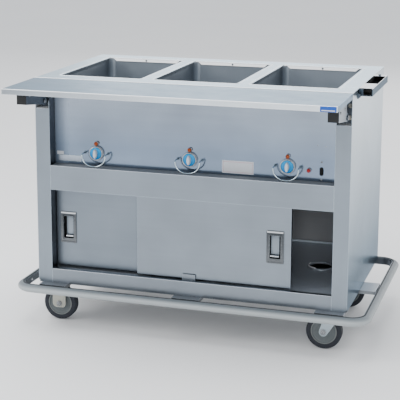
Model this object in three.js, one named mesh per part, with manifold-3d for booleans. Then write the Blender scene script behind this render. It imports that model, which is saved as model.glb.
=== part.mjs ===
// A three-well electric steam table: a stainless cabinet with sliding doors and a fold-down front shelf,
// on four casters inside a full-perimeter bumper. Millimetres, +Z up, +X to the right, front facing -Y.
// The origin is on the floor, under the centre of the whole unit.
import * as THREE from "three";
import { mergeVertices } from "three/addons/utils/BufferGeometryUtils.js";
import Module from "manifold-3d";

const wasm = await Module();
wasm.setup();

// Cabinet. Its y coordinates run back from the front face of the corner posts, its z from the floor.
const WIDTH = 1140;
const DEPTH = 660;
const HEIGHT = 925;
const HALF = WIDTH / 2;
const SHEET = 2;
const GAP = 0.4;
const BODY_BOTTOM = 170.6;
const POST_WIDTH = 54;
const POST_DEPTH = 48;
const INNER = HALF - POST_WIDTH;
const POCKET_DEPTH = 110;
const LIP = 19;

// Wells: three standard full-size pan openings.
const WELL_PITCH = 352;
const WELL_OPENING = { width: 302, front: 86, back: 580 };
const WELL_MARGIN = 5;
const WELL_DEPTH = 176;
const WELL_CORNER = 22;
const FLANGE_DEPTH = 12;
const BACK_RIM_TILT = 15;
const ELEMENT_RADIUS = 4;

// Front shelf, its arms and its hinge line.
const SHELF_DEPTH = 267;
const SHELF_OVERHANG = 0.5;
const SHELF_SEAM = 4;
const SHELF_HINGE = { y: -26, z: 848 };
const ARM = { inner: 522, outer: 558, front: -176, nose: 857, heel: 840, back: -38, plate: 3 };
const PIN_RADIUS = 4;

// Control panel and apron below it.
const APRON_TOP = 608;
const APRON_BOTTOM = 519;
const KNOB_PITCH = 350;
const KNOB_SHIFT = -4.5;
const KNOB_HEIGHT = 655;
const KNOB_RADIUS = 22;
const GUARD = { radius: 44, wire: 2.25, reach: 34 };
const KNOB_REACH = 14;
const POINTER_REACH = 14;
const LAMP_HEIGHT = 690;
const LAMP_REACH = 12.5;
const MASTER_LAMP = { x: 419, z: 646 };
const ROCKER = { x: 462, z: 644, width: 10, height: 26, tilt: 6 };

// Doors, each on its own track. The right door stands 149 short of its closed place.
const DOOR_WIDTH = 563;
const DOOR_THICKNESS = 18;
const DOOR_BOTTOM = 227;
const DOOR_TOP = 546;
const DOOR_LEFT = { x: -515, y: 47 };
const DOOR_RIGHT = { x: -196, y: 25 };
const PULL = { width: 62, height: 117, z: 371, cup_width: 46, cup_height: 84, depth: 12 };
const PULL_INSET = { left: 47, right: 56 };

// Floor of the cabinet, rails and deck.
const RAIL_TOP = 222.6;
const FLOOR_TOP = 215;
const FLOOR_HOLE = { x: 409, y: 349, radius: 42 };
const DECK = 562;

// Running gear and bumper.
const FRAME_THICKNESS = 13.3;
const FRAME_BOTTOM = BODY_BOTTOM - FRAME_THICKNESS;
const FRAME_WIDTH = 100;
const FRAME_X = [-505, 2, 513];
const CROSS = { front: 190, back: 250 };
const STUB_Y = 305;
const BUMPER = { bottom: 137, top: 167, gap_x: 57, gap_y: 33, channel: 4, strip: 22, corner: 44 };
const WHEEL_RADIUS = 63.5;
const WHEEL_WIDTH = 32;
const TYRE_DEPTH = 17;
const AXLE_RADIUS = 6;
const CASTER_Y = 97;
const RIGID_X = -524;
const SWIVEL_X = 513;
const SWIVEL_TRAIL = 37;
const PLATE = { width: 96, depth: 88, thickness: 4 };

// Push handle on the right end.
const HANDLE = { reach: 47, front: 107, back: 445, height: 25 };

// ---------------------------------------------------------------- solids

function solid(geometry) {
  const bare = geometry.clone();
  bare.deleteAttribute("normal");
  bare.deleteAttribute("uv");
  const merged = mergeVertices(bare, 1e-4);
  return new wasm.Manifold(
    new wasm.Mesh({
      numProp: 3,
      vertProperties: merged.attributes.position.array,
      triVerts: new Uint32Array(merged.index.array),
    }),
  );
}

function join(first, ...others) {
  return others.reduce((sum, other) => sum.add(other), first);
}

function cut(first, ...others) {
  return others.reduce((rest, other) => rest.subtract(other), first);
}

function box(x0, x1, y0, y1, z0, z1) {
  const geometry = new THREE.BoxGeometry(x1 - x0, y1 - y0, z1 - z0);
  return solid(geometry.translate((x0 + x1) / 2, (y0 + y1) / 2, (z0 + z1) / 2));
}

function extrude(shape, depth, curveSegments = 6) {
  return new THREE.ExtrudeGeometry(shape, { depth, curveSegments, bevelEnabled: false });
}

// A shape drawn in x and y, standing up from z0 to z1.
function upright(shape, z0, z1, curveSegments) {
  return solid(extrude(shape, z1 - z0, curveSegments).translate(0, 0, z0));
}

// A shape drawn in x and z, running back from y0 to y1.
function backward(shape, y0, y1, curveSegments) {
  return solid(extrude(shape, y1 - y0, curveSegments).rotateX(Math.PI / 2).translate(0, y1, 0));
}

// A shape drawn in y and z, running across from x0 to x1.
function across(shape, x0, x1, curveSegments) {
  const geometry = extrude(shape, x1 - x0, curveSegments);
  const frame = new THREE.Matrix4().makeBasis(
    new THREE.Vector3(0, 1, 0),
    new THREE.Vector3(0, 0, 1),
    new THREE.Vector3(1, 0, 0),
  );
  return solid(geometry.applyMatrix4(frame).translate(x0, 0, 0));
}

function polygon(points) {
  return new THREE.Shape(points.map(([a, b]) => new THREE.Vector2(a, b)));
}

function roundedRect(a0, a1, b0, b1, r) {
  const shape = new THREE.Shape();
  shape.moveTo(a0 + r, b0);
  shape.lineTo(a1 - r, b0);
  shape.absarc(a1 - r, b0 + r, r, -Math.PI / 2, 0);
  shape.lineTo(a1, b1 - r);
  shape.absarc(a1 - r, b1 - r, r, 0, Math.PI / 2);
  shape.lineTo(a0 + r, b1);
  shape.absarc(a0 + r, b1 - r, r, Math.PI / 2, Math.PI);
  shape.lineTo(a0, b0 + r);
  shape.absarc(a0 + r, b0 + r, r, Math.PI, Math.PI * 1.5);
  return shape;
}

// A solid of revolution about Z through x, y: profile points are [radius, z].
function turned(profile, x, y, segments = 24) {
  const points = profile.map(([r, z]) => new THREE.Vector2(r, z));
  return solid(new THREE.LatheGeometry(points, segments).rotateX(Math.PI / 2).translate(x, y, 0));
}

// A solid of revolution about a line along Y through x, z: profile points are [radius, y].
function turnedBack(profile, x, z, segments = 24) {
  const points = profile.map(([r, y]) => new THREE.Vector2(r, y));
  return solid(new THREE.LatheGeometry(points, segments).translate(x, 0, z));
}

function rodZ(x, y, radius, z0, z1, segments = 24) {
  return turned([[0, z0], [radius, z0], [radius, z1], [0, z1]], x, y, segments);
}

function rodY(x, z, radius, y0, y1, segments = 24) {
  return turnedBack([[0, y0], [radius, y0], [radius, y1], [0, y1]], x, z, segments);
}

function rodX(y, z, radius, x0, x1, segments = 12) {
  const geometry = new THREE.CylinderGeometry(radius, radius, x1 - x0, segments);
  return solid(geometry.rotateZ(Math.PI / 2).translate((x0 + x1) / 2, y, z));
}

// A round wire or tube along a curve.
function wire(path, radius, steps, sides = 8) {
  const section = new THREE.Shape();
  section.absarc(0, 0, radius, 0, Math.PI * 2);
  return solid(
    new THREE.ExtrudeGeometry(section, { steps, curveSegments: sides / 2, extrudePath: path }),
  );
}

function steel(color = 0xa6adb3, roughness = 0.35) {
  return new THREE.MeshStandardMaterial({ color, roughness, metalness: 1 });
}

function plastic(color, roughness = 0.45) {
  return new THREE.MeshStandardMaterial({ color, roughness, metalness: 0 });
}

function mesh(name, body, material) {
  const { vertProperties, triVerts } = body.getMesh();
  const geometry = new THREE.BufferGeometry();
  geometry.setAttribute("position", new THREE.BufferAttribute(vertProperties, 3));
  geometry.setIndex(new THREE.BufferAttribute(triVerts, 1));
  geometry.computeVertexNormals();
  const made = new THREE.Mesh(geometry, material);
  made.name = name;
  return made;
}

// ---------------------------------------------------------------- top and wells

const wellCentres = [-1, 0, 1].map((step) => step * WELL_PITCH);

// The rim turned down along each side of a pan opening, with its ends cut back at a slant. The back one
// leans forward.
function openingRims(x) {
  const { width, front, back } = WELL_OPENING;
  const rim = (length) => {
    const half = length / 2;
    const low = HEIGHT - FLANGE_DEPTH;
    const high = HEIGHT - SHEET / 2;
    return polygon([[-half + 26, low], [half - 26, low], [half - 12, high], [-half + 12, high]]);
  };
  const middle = (front + back) / 2;
  const frontRim = backward(rim(width), front - SHEET, front).translate(x, 0, 0);
  const backRim = backward(rim(width), 0, SHEET)
    .translate(0, 0, -HEIGHT)
    .rotate([-BACK_RIM_TILT, 0, 0])
    .translate(x, back, HEIGHT);
  const sides = [x - width / 2 - SHEET, x + width / 2].map((side) =>
    across(rim(back - front), side, side + SHEET).translate(0, middle, 0),
  );
  return join(frontRim, backRim, ...sides);
}

function topPanel() {
  const plate = box(-HALF, HALF, 0, DEPTH, HEIGHT - SHEET, HEIGHT);
  const skirt = box(-HALF, HALF, 0, SHEET, HEIGHT - LIP, HEIGHT - SHEET / 2);
  const { width, front, back } = WELL_OPENING;
  const openings = wellCentres.map((x) =>
    upright(roundedRect(x - width / 2, x + width / 2, front, back, 8), HEIGHT - LIP, HEIGHT + 1, 3),
  );
  return join(cut(plate, ...openings), skirt, ...wellCentres.map(openingRims));
}

function wellLiner(x) {
  const { width, front, back } = WELL_OPENING;
  const top = HEIGHT - SHEET - GAP;
  const floor = HEIGHT - WELL_DEPTH;
  const shell = (grow, z0, z1) =>
    upright(
      roundedRect(x - width / 2 - grow, x + width / 2 + grow, front - grow, back + grow, WELL_CORNER + grow),
      z0,
      z1,
      3,
    );
  const holes = [-1, 1].map((side) => rodZ(x + side * 60, front + 60, 6.5, floor - 9, floor + 9, 12));
  const outer = shell(WELL_MARGIN + SHEET, floor - SHEET, top);
  return cut(outer, shell(WELL_MARGIN, floor, top + 1), ...holes);
}

// A sheathed element: a long U lying above the well floor, its two ends turned down through it.
function heatingElement(x) {
  const front = WELL_OPENING.front + 60;
  const back = WELL_OPENING.back - 120;
  const z = HEIGHT - WELL_DEPTH + 14;
  const low = HEIGHT - WELL_DEPTH - 12;
  const at = (dx, y, height) => new THREE.Vector3(x + dx, y, height);
  const path = new THREE.CurvePath();
  path.add(new THREE.LineCurve3(at(-60, front, low), at(-60, front, z - 10)));
  path.add(new THREE.QuadraticBezierCurve3(at(-60, front, z - 10), at(-60, front, z), at(-60, front + 10, z)));
  path.add(new THREE.LineCurve3(at(-60, front + 10, z), at(-60, back, z)));
  path.add(new THREE.CubicBezierCurve3(at(-60, back, z), at(-60, back + 80, z), at(60, back + 80, z), at(60, back, z)));
  path.add(new THREE.LineCurve3(at(60, back, z), at(60, front + 10, z)));
  path.add(new THREE.QuadraticBezierCurve3(at(60, front + 10, z), at(60, front, z), at(60, front, z - 10)));
  path.add(new THREE.LineCurve3(at(60, front, z - 10), at(60, front, low)));
  return wire(path, ELEMENT_RADIUS, 36, 6);
}

// ---------------------------------------------------------------- cabinet shell

// One end of the cabinet with its front post, whose lower corner is cut back. side is +1 on the right and
// -1 on the left.
function sidePanel(side) {
  const plate = (x0, x1, y0, y1, z0, z1) =>
    box(Math.min(side * x0, side * x1), Math.max(side * x0, side * x1), y0, y1, z0, z1);
  const pocket = HEIGHT - POCKET_DEPTH;
  const under = HEIGHT - LIP - GAP;
  const corner = polygon([
    [side * (HALF + 1), BODY_BOTTOM - 1],
    [side * (HALF + 1), BODY_BOTTOM + 8],
    [side * (HALF - 8), BODY_BOTTOM - 1],
  ]);
  const shell = join(
    plate(HALF - SHEET, HALF, 0, DEPTH, BODY_BOTTOM, HEIGHT - LIP),
    plate(HALF - SHEET, HALF, SHEET + GAP, DEPTH, BODY_BOTTOM, HEIGHT - SHEET - GAP),
    plate(INNER, HALF, 0, SHEET, BODY_BOTTOM, pocket),
    plate(INNER, INNER + SHEET, 0, POST_DEPTH, BODY_BOTTOM, under),
    plate(INNER, HALF, POST_DEPTH - SHEET, POST_DEPTH, pocket - SHEET, under),
    plate(INNER, HALF, 0, POST_DEPTH, pocket - SHEET, pocket),
    plate(HALF - 30, HALF, DEPTH - SHEET, DEPTH, BODY_BOTTOM, HEIGHT - SHEET - GAP),
  );
  return cut(shell, backward(corner, -1, 9));
}

function backPanel() {
  const edge = HALF - SHEET - GAP;
  const y = DEPTH - SHEET - GAP;
  const plate = box(-edge, edge, y - SHEET, y, BODY_BOTTOM + GAP, HEIGHT - SHEET - GAP);
  const gland = { x: 430, z: 600, radius: 15, reach: 14, bore: 6 };
  const nut = rodY(gland.x, gland.z, gland.radius, y - SHEET, y + gland.reach, 6);
  return cut(join(plate, nut), rodY(gland.x, gland.z, gland.bore, y - 20, y + 30, 16));
}

const knobCentres = [-1, 0, 1].map((step) => step * KNOB_PITCH + KNOB_SHIFT);
const PANEL_FRONT = POST_DEPTH + GAP;
const PANEL_BACK = PANEL_FRONT + SHEET;

function obround(width, height, x, z) {
  return roundedRect(x - width / 2, x + width / 2, z - height / 2, z + height / 2, width / 2);
}

function controlPanel() {
  const edge = INNER - GAP;
  const through = (x, z, radius) => rodY(x, z, radius, PANEL_FRONT - 5, PANEL_BACK + 5, 12);
  const slot = obround(ROCKER.width + 2.4, ROCKER.height + 2.4, ROCKER.x, ROCKER.z);
  return cut(
    box(-edge, edge, PANEL_FRONT, PANEL_BACK, APRON_TOP + GAP, HEIGHT - LIP - GAP),
    ...knobCentres.map((x) => through(x, KNOB_HEIGHT, 4.2)),
    ...knobCentres.map((x) => through(x, LAMP_HEIGHT, 4.5)),
    through(MASTER_LAMP.x, MASTER_LAMP.z, 4.5),
    backward(slot, PANEL_FRONT - 5, PANEL_BACK + 5, 4),
  );
}

function apronRail() {
  const edge = INNER - GAP;
  return join(
    box(-edge, edge, 0, SHEET, APRON_BOTTOM, APRON_TOP),
    box(-edge, edge, 0, POST_DEPTH, APRON_TOP - SHEET, APRON_TOP),
    box(-edge, edge, 0, 12, APRON_BOTTOM, APRON_BOTTOM + SHEET),
  );
}

// The bottom rail has a return along its lower edge, and carries the tab that guides the front door.
function bottomRail() {
  const edge = INNER - GAP;
  const tabBack = DOOR_RIGHT.y - 4;
  return join(
    box(-edge, edge, 0, SHEET, BODY_BOTTOM, RAIL_TOP),
    box(-edge, edge, 0, 30, BODY_BOTTOM, BODY_BOTTOM + SHEET),
    box(-edge, edge, 0, tabBack, RAIL_TOP - SHEET, RAIL_TOP),
    box(-24, 24, tabBack - SHEET, tabBack, RAIL_TOP - SHEET, RAIL_TOP + 21),
  );
}

// The floor, notched round the corner posts, with its front and back edges turned down and a rolled
// rim round the drain hole.
function cabinetFloor() {
  const narrow = INNER - GAP;
  const wide = HALF - SHEET - GAP;
  const front = SHEET + GAP;
  const back = DEPTH - 2 * SHEET - 2 * GAP;
  const under = FLOOR_TOP - SHEET;
  const lip = FLOOR_TOP - 14;
  const { x, y, radius } = FLOOR_HOLE;
  const rim = turned(
    [
      [radius, under],
      [radius + 8, under],
      [radius + 8, FLOOR_TOP + 2],
      [radius + 5, FLOOR_TOP + 5],
      [radius + 2, FLOOR_TOP + 5],
      [radius, FLOOR_TOP + 3],
      [radius, under],
    ],
    x,
    y,
    24,
  );
  const sheet = join(
    box(-narrow, narrow, front, back, under, FLOOR_TOP),
    box(-wide, wide, POST_DEPTH + GAP, back, under, FLOOR_TOP),
    box(-narrow, narrow, front, front + SHEET, lip, FLOOR_TOP),
    box(-wide, wide, back - SHEET, back, lip, FLOOR_TOP),
  );
  return join(cut(sheet, rodZ(x, y, radius + 4, FLOOR_TOP - 10, FLOOR_TOP + 10, 24)), rim);
}

// The deck between the heating compartment and the cabinet, with the double door track under its edge.
function trackDeck() {
  const edge = INNER - 2 * GAP;
  const web = DOOR_TOP + 2;
  const lower = DOOR_TOP - 16;
  const first = DOOR_RIGHT.y - 3.5;
  const second = DOOR_LEFT.y - 3;
  const third = DOOR_LEFT.y + DOOR_THICKNESS + 1.5;
  return join(
    box(-edge, edge, first, DEPTH - 3 * SHEET, DECK - SHEET, DECK),
    box(-edge, edge, first, third + SHEET, web, web + SHEET),
    box(-edge, edge, second, second + SHEET, lower, DECK - SHEET / 2),
    box(-edge, edge, first, first + SHEET, lower, web + SHEET),
    box(-edge, edge, third, third + SHEET, lower, web + SHEET),
  );
}

// ---------------------------------------------------------------- controls

function knob(x) {
  const back = PANEL_FRONT - 1;
  const face = PANEL_FRONT - KNOB_REACH;
  const body = turnedBack(
    [
      [0, face],
      [KNOB_RADIUS - 2, face],
      [KNOB_RADIUS, face + 2],
      [KNOB_RADIUS, back - 1],
      [KNOB_RADIUS - 1, back],
      [0, back],
    ],
    x,
    KNOB_HEIGHT,
    24,
  );
  const grip = new THREE.Shape();
  grip.moveTo(x, KNOB_HEIGHT - 17);
  grip.quadraticCurveTo(x + 12, KNOB_HEIGHT, x, KNOB_HEIGHT + 17);
  grip.quadraticCurveTo(x - 12, KNOB_HEIGHT, x, KNOB_HEIGHT - 17);
  const pointer = backward(grip, face - POINTER_REACH, face + 1, 6);
  return join(body, pointer, rodY(x, KNOB_HEIGHT, 3, back - 2, PANEL_BACK + 8, 12));
}

// The collar round the knob, standing almost as far out as its face.
function knobBezel(x) {
  const back = PANEL_FRONT - GAP;
  const face = PANEL_FRONT - KNOB_REACH + 1;
  const profile = [
    [KNOB_RADIUS + 1, back],
    [KNOB_RADIUS + 1, face + 1],
    [KNOB_RADIUS + 2, face],
    [KNOB_RADIUS + 3.5, face + 1.5],
    [KNOB_RADIUS + 3.5, back],
    [KNOB_RADIUS + 1, back],
  ];
  return turnedBack(profile, x, KNOB_HEIGHT, 24);
}

function thermostat(x) {
  const front = PANEL_BACK + GAP;
  const body = join(
    box(x - 19, x + 19, front + 3, front + 29, KNOB_HEIGHT - 19, KNOB_HEIGHT + 19),
    rodY(x, KNOB_HEIGHT, 8, front, front + 4, 16),
  );
  return cut(body, rodY(x, KNOB_HEIGHT, 3.8, front - 1, front + 12, 12));
}

// The wire guard: a half hoop in front of the knob, with a prong back to the panel at each end.
function knobGuard(x) {
  const { radius, wire: half, reach } = GUARD;
  const back = PANEL_FRONT - GAP;
  const front = back - reach;
  const bend = 8;
  const at = (dx, y, dz) => new THREE.Vector3(x + dx, y, KNOB_HEIGHT + dz);
  const prong = (side) => new THREE.LineCurve3(at(side * radius, back, 0), at(side * radius, front + bend, 0));
  const turn = (side) =>
    new THREE.QuadraticBezierCurve3(
      at(side * radius, front + bend, 0),
      at(side * radius, front, 0),
      at(side * radius, front, -bend),
    );
  const k = radius * 0.5523;
  const quarter = (side) =>
    new THREE.CubicBezierCurve3(
      at(side * radius, front, -bend),
      at(side * radius, front, -bend - (k * (radius - bend)) / radius),
      at(side * k, front, -radius),
      at(0, front, -radius),
    );
  const reversed = (curve) => {
    const { v0, v1, v2, v3 } = curve;
    if (v3) return new THREE.CubicBezierCurve3(v3, v2, v1, v0);
    return new THREE.QuadraticBezierCurve3(v2, v1, v0);
  };
  const path = new THREE.CurvePath();
  path.add(prong(-1));
  path.add(turn(-1));
  path.add(quarter(-1));
  path.add(reversed(quarter(1)));
  path.add(reversed(turn(1)));
  const last = prong(1);
  path.add(new THREE.LineCurve3(last.v2, last.v1));
  return wire(path, half, 30, 6);
}

// A lamp: a domed lens on a barrel that stands out from the panel.
function lamp(x, z) {
  const back = PANEL_FRONT - GAP;
  const front = PANEL_FRONT - LAMP_REACH;
  return turnedBack(
    [
      [0, front],
      [3, front + 0.5],
      [5.6, front + 2.5],
      [6.6, front + 6],
      [6.6, front + 8],
      [5.4, front + 8],
      [5.4, back - 2],
      [6.6, back - 2],
      [6.6, back],
      [4, back],
      [4, PANEL_BACK + 14],
      [0, PANEL_BACK + 14],
    ],
    x,
    z,
    12,
  );
}

// The rocker is drawn about its own pivot, which lies in the plane of the panel.
function powerRocker() {
  const group = new THREE.Group();
  const bar = backward(obround(ROCKER.width, ROCKER.height, 0, 0), -5, 5, 4);
  const rocker = mesh("power_rocker", bar, plastic(0x15171a));
  group.add(rocker);
  group.position.set(ROCKER.x, (PANEL_FRONT + PANEL_BACK) / 2, ROCKER.z);
  group.rotation.x = THREE.MathUtils.degToRad(-ROCKER.tilt);
  return group;
}

// ---------------------------------------------------------------- doors

function doorPanel({ x, y }, pullX) {
  const right = x + DOOR_WIDTH;
  const hole = { x: PULL.cup_width / 2 + 2, z: PULL.cup_height / 2 + 2 };
  return cut(
    box(x, right, y, y + DOOR_THICKNESS, DOOR_BOTTOM, DOOR_TOP),
    box(x + SHEET, right - SHEET, y + SHEET, y + 40, DOOR_BOTTOM + SHEET, DOOR_TOP - SHEET),
    box(pullX - hole.x, pullX + hole.x, y - 5, y + 10, PULL.z - hole.z, PULL.z + hole.z),
  );
}

// A flush recessed pull: a flange on the door face and a cup behind it.
function doorPull(pullX, y) {
  const face = y - GAP;
  const rect = (width, height, r) =>
    roundedRect(pullX - width / 2, pullX + width / 2, PULL.z - height / 2, PULL.z + height / 2, r);
  const flange = backward(rect(PULL.width, PULL.height, 4), face - 1.5, face, 3);
  const cup = backward(rect(PULL.cup_width, PULL.cup_height, 5), face - 0.5, face + PULL.depth + 1.5, 3);
  const hollow = backward(rect(PULL.cup_width - 4, PULL.cup_height - 4, 4), face - 5, face + PULL.depth, 3);
  return cut(join(flange, cup), hollow);
}

// ---------------------------------------------------------------- front shelf

function shelfPanel() {
  const edge = HALF + SHELF_OVERHANG;
  const front = -SHELF_DEPTH;
  const back = -SHELF_SEAM;
  const low = HEIGHT - LIP;
  return cut(
    box(-edge, edge, front, back, low, HEIGHT),
    box(-edge + SHEET, edge - SHEET, front + SHEET, back - SHEET, low - 1, HEIGHT - SHEET),
  );
}

// An arm: an upside-down channel under the shelf, its two cheeks carried back to the hinge pin.
function shelfArm(side) {
  const top = HEIGHT - SHEET - GAP;
  const { y, z } = SHELF_HINGE;
  const lobe = 15;
  const cheek = new THREE.Shape();
  cheek.moveTo(ARM.front, top);
  cheek.lineTo(ARM.front, ARM.nose);
  cheek.lineTo(ARM.back - 18, ARM.heel);
  cheek.lineTo(y, z - lobe);
  cheek.absarc(y, z, lobe, -Math.PI / 2, Math.PI / 2);
  cheek.lineTo(ARM.back, z + lobe + 14);
  cheek.lineTo(ARM.back, top);
  const { inner, outer, plate, front, back, nose } = ARM;
  const x0 = Math.min(side * inner, side * outer);
  const x1 = Math.max(side * inner, side * outer);
  const bore = rodX(y, z, PIN_RADIUS + 0.4, x0 - 5, x1 + 5);
  const channel = join(
    across(cheek, x0, x0 + plate, 5),
    across(cheek, x1 - plate, x1, 5),
    box(x0, x1, front, back, top - plate, top),
    box(x0, x1, front, front + plate, nose, top),
  );
  return cut(channel, bore);
}

// The fixed bracket in the post's pocket: a bolted plate, an ear and the hinge pin with its two heads.
function shelfBracket(side) {
  const { y, z } = SHELF_HINGE;
  const pocket = HEIGHT - POCKET_DEPTH;
  const back = POST_DEPTH - SHEET - GAP;
  const middle = (side * (ARM.inner + ARM.outer)) / 2;
  const halfArm = (ARM.outer - ARM.inner) / 2;
  const ear = new THREE.Shape();
  ear.moveTo(back - 1, z + 26);
  ear.lineTo(y, z + 13);
  ear.absarc(y, z, 13, Math.PI / 2, Math.PI * 1.5);
  ear.lineTo(back - 1, z - 20);
  const bolts = [z + 28, z - 12].map((height) =>
    rodY(middle + side * 15, height, 5.5, back - 7, back - 2, 6),
  );
  return join(
    box(middle - 22, middle + 22, back - 3, back, pocket + 4, HEIGHT - LIP - 4),
    across(ear, middle - 8, middle + 8, 5),
    rodX(y, z, PIN_RADIUS, middle - halfArm - 2, middle + halfArm + 2),
    rodX(y, z, 8, middle - halfArm - 3.4, middle - halfArm - GAP),
    rodX(y, z, 8, middle + halfArm + GAP, middle + halfArm + 3.4),
    ...bolts,
  );
}

// ---------------------------------------------------------------- frame and bumper

// Three downward-open channels from front to back, a cross member, a stub out to each end of the bumper,
// and the thin bottom pan that closes the cabinet's underside.
function baseFrame() {
  const reachX = HALF + BUMPER.gap_x - GAP;
  const front = -BUMPER.gap_y + GAP;
  const back = DEPTH + BUMPER.gap_y - GAP;
  const web = 3;
  const half = FRAME_WIDTH / 2;
  const [left, , right] = FRAME_X;
  const members = [
    ...FRAME_X.map((x) => [x - half, x + half, front, back]),
    [left, right, CROSS.front, CROSS.back],
    [-reachX, left, STUB_Y - half, STUB_Y + half],
    [right, reachX, STUB_Y - half, STUB_Y + half],
  ];
  const hollow = ([x0, x1, y0, y1]) => {
    const lengthwise = y1 - y0 > x1 - x0;
    const [endX, endY] = lengthwise ? [web, 60] : [web, web];
    return box(x0 + endX, x1 - endX, y0 + endY, y1 - endY, FRAME_BOTTOM - 1, BODY_BOTTOM - GAP - web);
  };
  const bars = members.map(([x0, x1, y0, y1]) => box(x0, x1, y0, y1, FRAME_BOTTOM, BODY_BOTTOM - GAP));
  const pan = box(-HALF + SHEET, HALF - SHEET, SHEET, DEPTH - SHEET, BODY_BOTTOM - GAP - SHEET, BODY_BOTTOM - GAP);
  return join(cut(join(...bars), ...members.map(hollow)), pan);
}

// A rounded rectangle that stands off the cabinet by the bumper's gaps plus grow.
function bumperOutline(grow) {
  const x = HALF + BUMPER.gap_x + grow;
  const front = -BUMPER.gap_y - grow;
  const back = DEPTH + BUMPER.gap_y + grow;
  return roundedRect(-x, x, front, back, BUMPER.corner + grow);
}

function bumperChannel() {
  const z0 = BUMPER.bottom + 2;
  const z1 = BUMPER.top - 2;
  const outer = upright(bumperOutline(BUMPER.channel), z0, z1, 5);
  return cut(outer, upright(bumperOutline(0), z0 - 1, z1 + 1, 5));
}

// The half-round strip: a plate with a deep rounded edge, less everything inside the channel.
function bumperStrip() {
  const height = BUMPER.top - BUMPER.bottom;
  const round = height / 2 - 1;
  const inner = BUMPER.channel + GAP;
  const geometry = new THREE.ExtrudeGeometry(bumperOutline(inner), {
    depth: 2,
    curveSegments: 5,
    bevelThickness: round,
    bevelSize: BUMPER.strip,
    bevelSegments: 3,
  });
  const rounded = solid(geometry.translate(0, 0, BUMPER.bottom + round));
  return cut(rounded, upright(bumperOutline(inner), BUMPER.bottom - 1, BUMPER.top + 1, 5));
}

// ---------------------------------------------------------------- casters

function wheelTyre(x, y) {
  const half = WHEEL_WIDTH / 2;
  const inner = WHEEL_RADIUS - TYRE_DEPTH;
  const profile = [
    [inner, y + half - 2],
    [inner, y - half + 2],
    [WHEEL_RADIUS - 5, y - half],
    [WHEEL_RADIUS - 1.5, y - half + 4],
    [WHEEL_RADIUS, y],
    [WHEEL_RADIUS - 1.5, y + half - 4],
    [WHEEL_RADIUS - 5, y + half],
    [inner, y + half - 2],
  ];
  return turnedBack(profile, x, WHEEL_RADIUS, 24);
}

function wheelHub(x, y) {
  const half = WHEEL_WIDTH / 2;
  const rim = WHEEL_RADIUS - TYRE_DEPTH - GAP;
  const bore = AXLE_RADIUS + GAP;
  const profile = [
    [bore, y + half + 3],
    [bore, y - half - 3],
    [bore + 8, y - half - 3],
    [rim - 5, y - half + 5],
    [rim, y - half + 1],
    [rim, y + half - 1],
    [rim - 5, y + half - 5],
    [bore + 8, y + half + 3],
    [bore, y + half + 3],
  ];
  return turnedBack(profile, x, WHEEL_RADIUS, 24);
}

const LEG = { inner: 20.5, outer: 24, head: 5 };

// Two fork legs of the given outline about a wheel centre, with the axle bolt and its heads.
function forkLegs(outline, x, y) {
  const legs = [-1, 1].map((side) => {
    const near = y + side * LEG.inner;
    const far = y + side * LEG.outer;
    return backward(outline, Math.min(near, far), Math.max(near, far), 4);
  });
  const reach = LEG.outer + LEG.head;
  return join(
    ...legs,
    rodY(x, WHEEL_RADIUS, AXLE_RADIUS, y - reach + 1, y + reach - 1, 12),
    rodY(x, WHEEL_RADIUS, 9, y - reach, y - LEG.outer + 1, 6),
    rodY(x, WHEEL_RADIUS, 9, y + LEG.outer - 1, y + reach, 6),
  );
}

function mountingPlate(x, y) {
  const top = FRAME_BOTTOM - GAP;
  const { width, depth, thickness } = PLATE;
  const outline = roundedRect(x - width / 2, x + width / 2, y - depth / 2, y + depth / 2, 8);
  return upright(outline, top - thickness, top, 3);
}

// The rigid caster's bracket: a plate with two straight legs down to the axle.
function rigidFork(x, y) {
  const plateTop = FRAME_BOTTOM - GAP;
  const leg = new THREE.Shape();
  leg.moveTo(x - 25, plateTop - 1);
  leg.lineTo(x - 25, WHEEL_RADIUS);
  leg.absarc(x - 11, WHEEL_RADIUS, 14, Math.PI, Math.PI * 1.5);
  leg.lineTo(x + 11, WHEEL_RADIUS - 14);
  leg.absarc(x + 11, WHEEL_RADIUS, 14, Math.PI * 1.5, Math.PI * 2);
  leg.lineTo(x + 25, plateTop - 1);
  return join(mountingPlate(x, y), forkLegs(leg, x, y));
}

const CROWN = { bottom: 131, plate: 136, top: 145, kingpin: 7 };

// The swivel caster's fixed half: the plate, the upper ball race and the kingpin with its nut.
function swivelPlate(x, y) {
  const plateBottom = FRAME_BOTTOM - GAP - PLATE.thickness;
  return join(
    mountingPlate(x, y),
    turned([[0, CROWN.top + GAP], [30, CROWN.top + GAP], [33, plateBottom + 1], [0, plateBottom + 1]], x, y, 24),
    rodZ(x, y, CROWN.kingpin, CROWN.bottom - 3, plateBottom, 16),
  );
}

// The turning half: the lower race, the crown and two legs raked back to the wheel.
function swivelFork(x, y) {
  const wheelX = x - SWIVEL_TRAIL;
  const top = CROWN.plate - 1;
  const leg = new THREE.Shape();
  leg.moveTo(x + 27, top);
  leg.lineTo(x - 28, top);
  leg.lineTo(wheelX - 15, WHEEL_RADIUS + 4);
  leg.absarc(wheelX, WHEEL_RADIUS, 15, Math.PI * 0.9, Math.PI * 1.85);
  const half = LEG.outer;
  const crown = join(
    box(x - 30, x + 29, y - half, y + half, CROWN.bottom, CROWN.plate),
    turned([[0, CROWN.plate - 1], [29, CROWN.plate - 1], [27, CROWN.top], [0, CROWN.top]], x, y, 24),
  );
  const bore = rodZ(x, y, CROWN.kingpin + GAP, CROWN.bottom - 1, CROWN.top + 1, 16);
  return join(cut(crown, bore), forkLegs(leg, wheelX, y));
}

// ---------------------------------------------------------------- end handle

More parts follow.
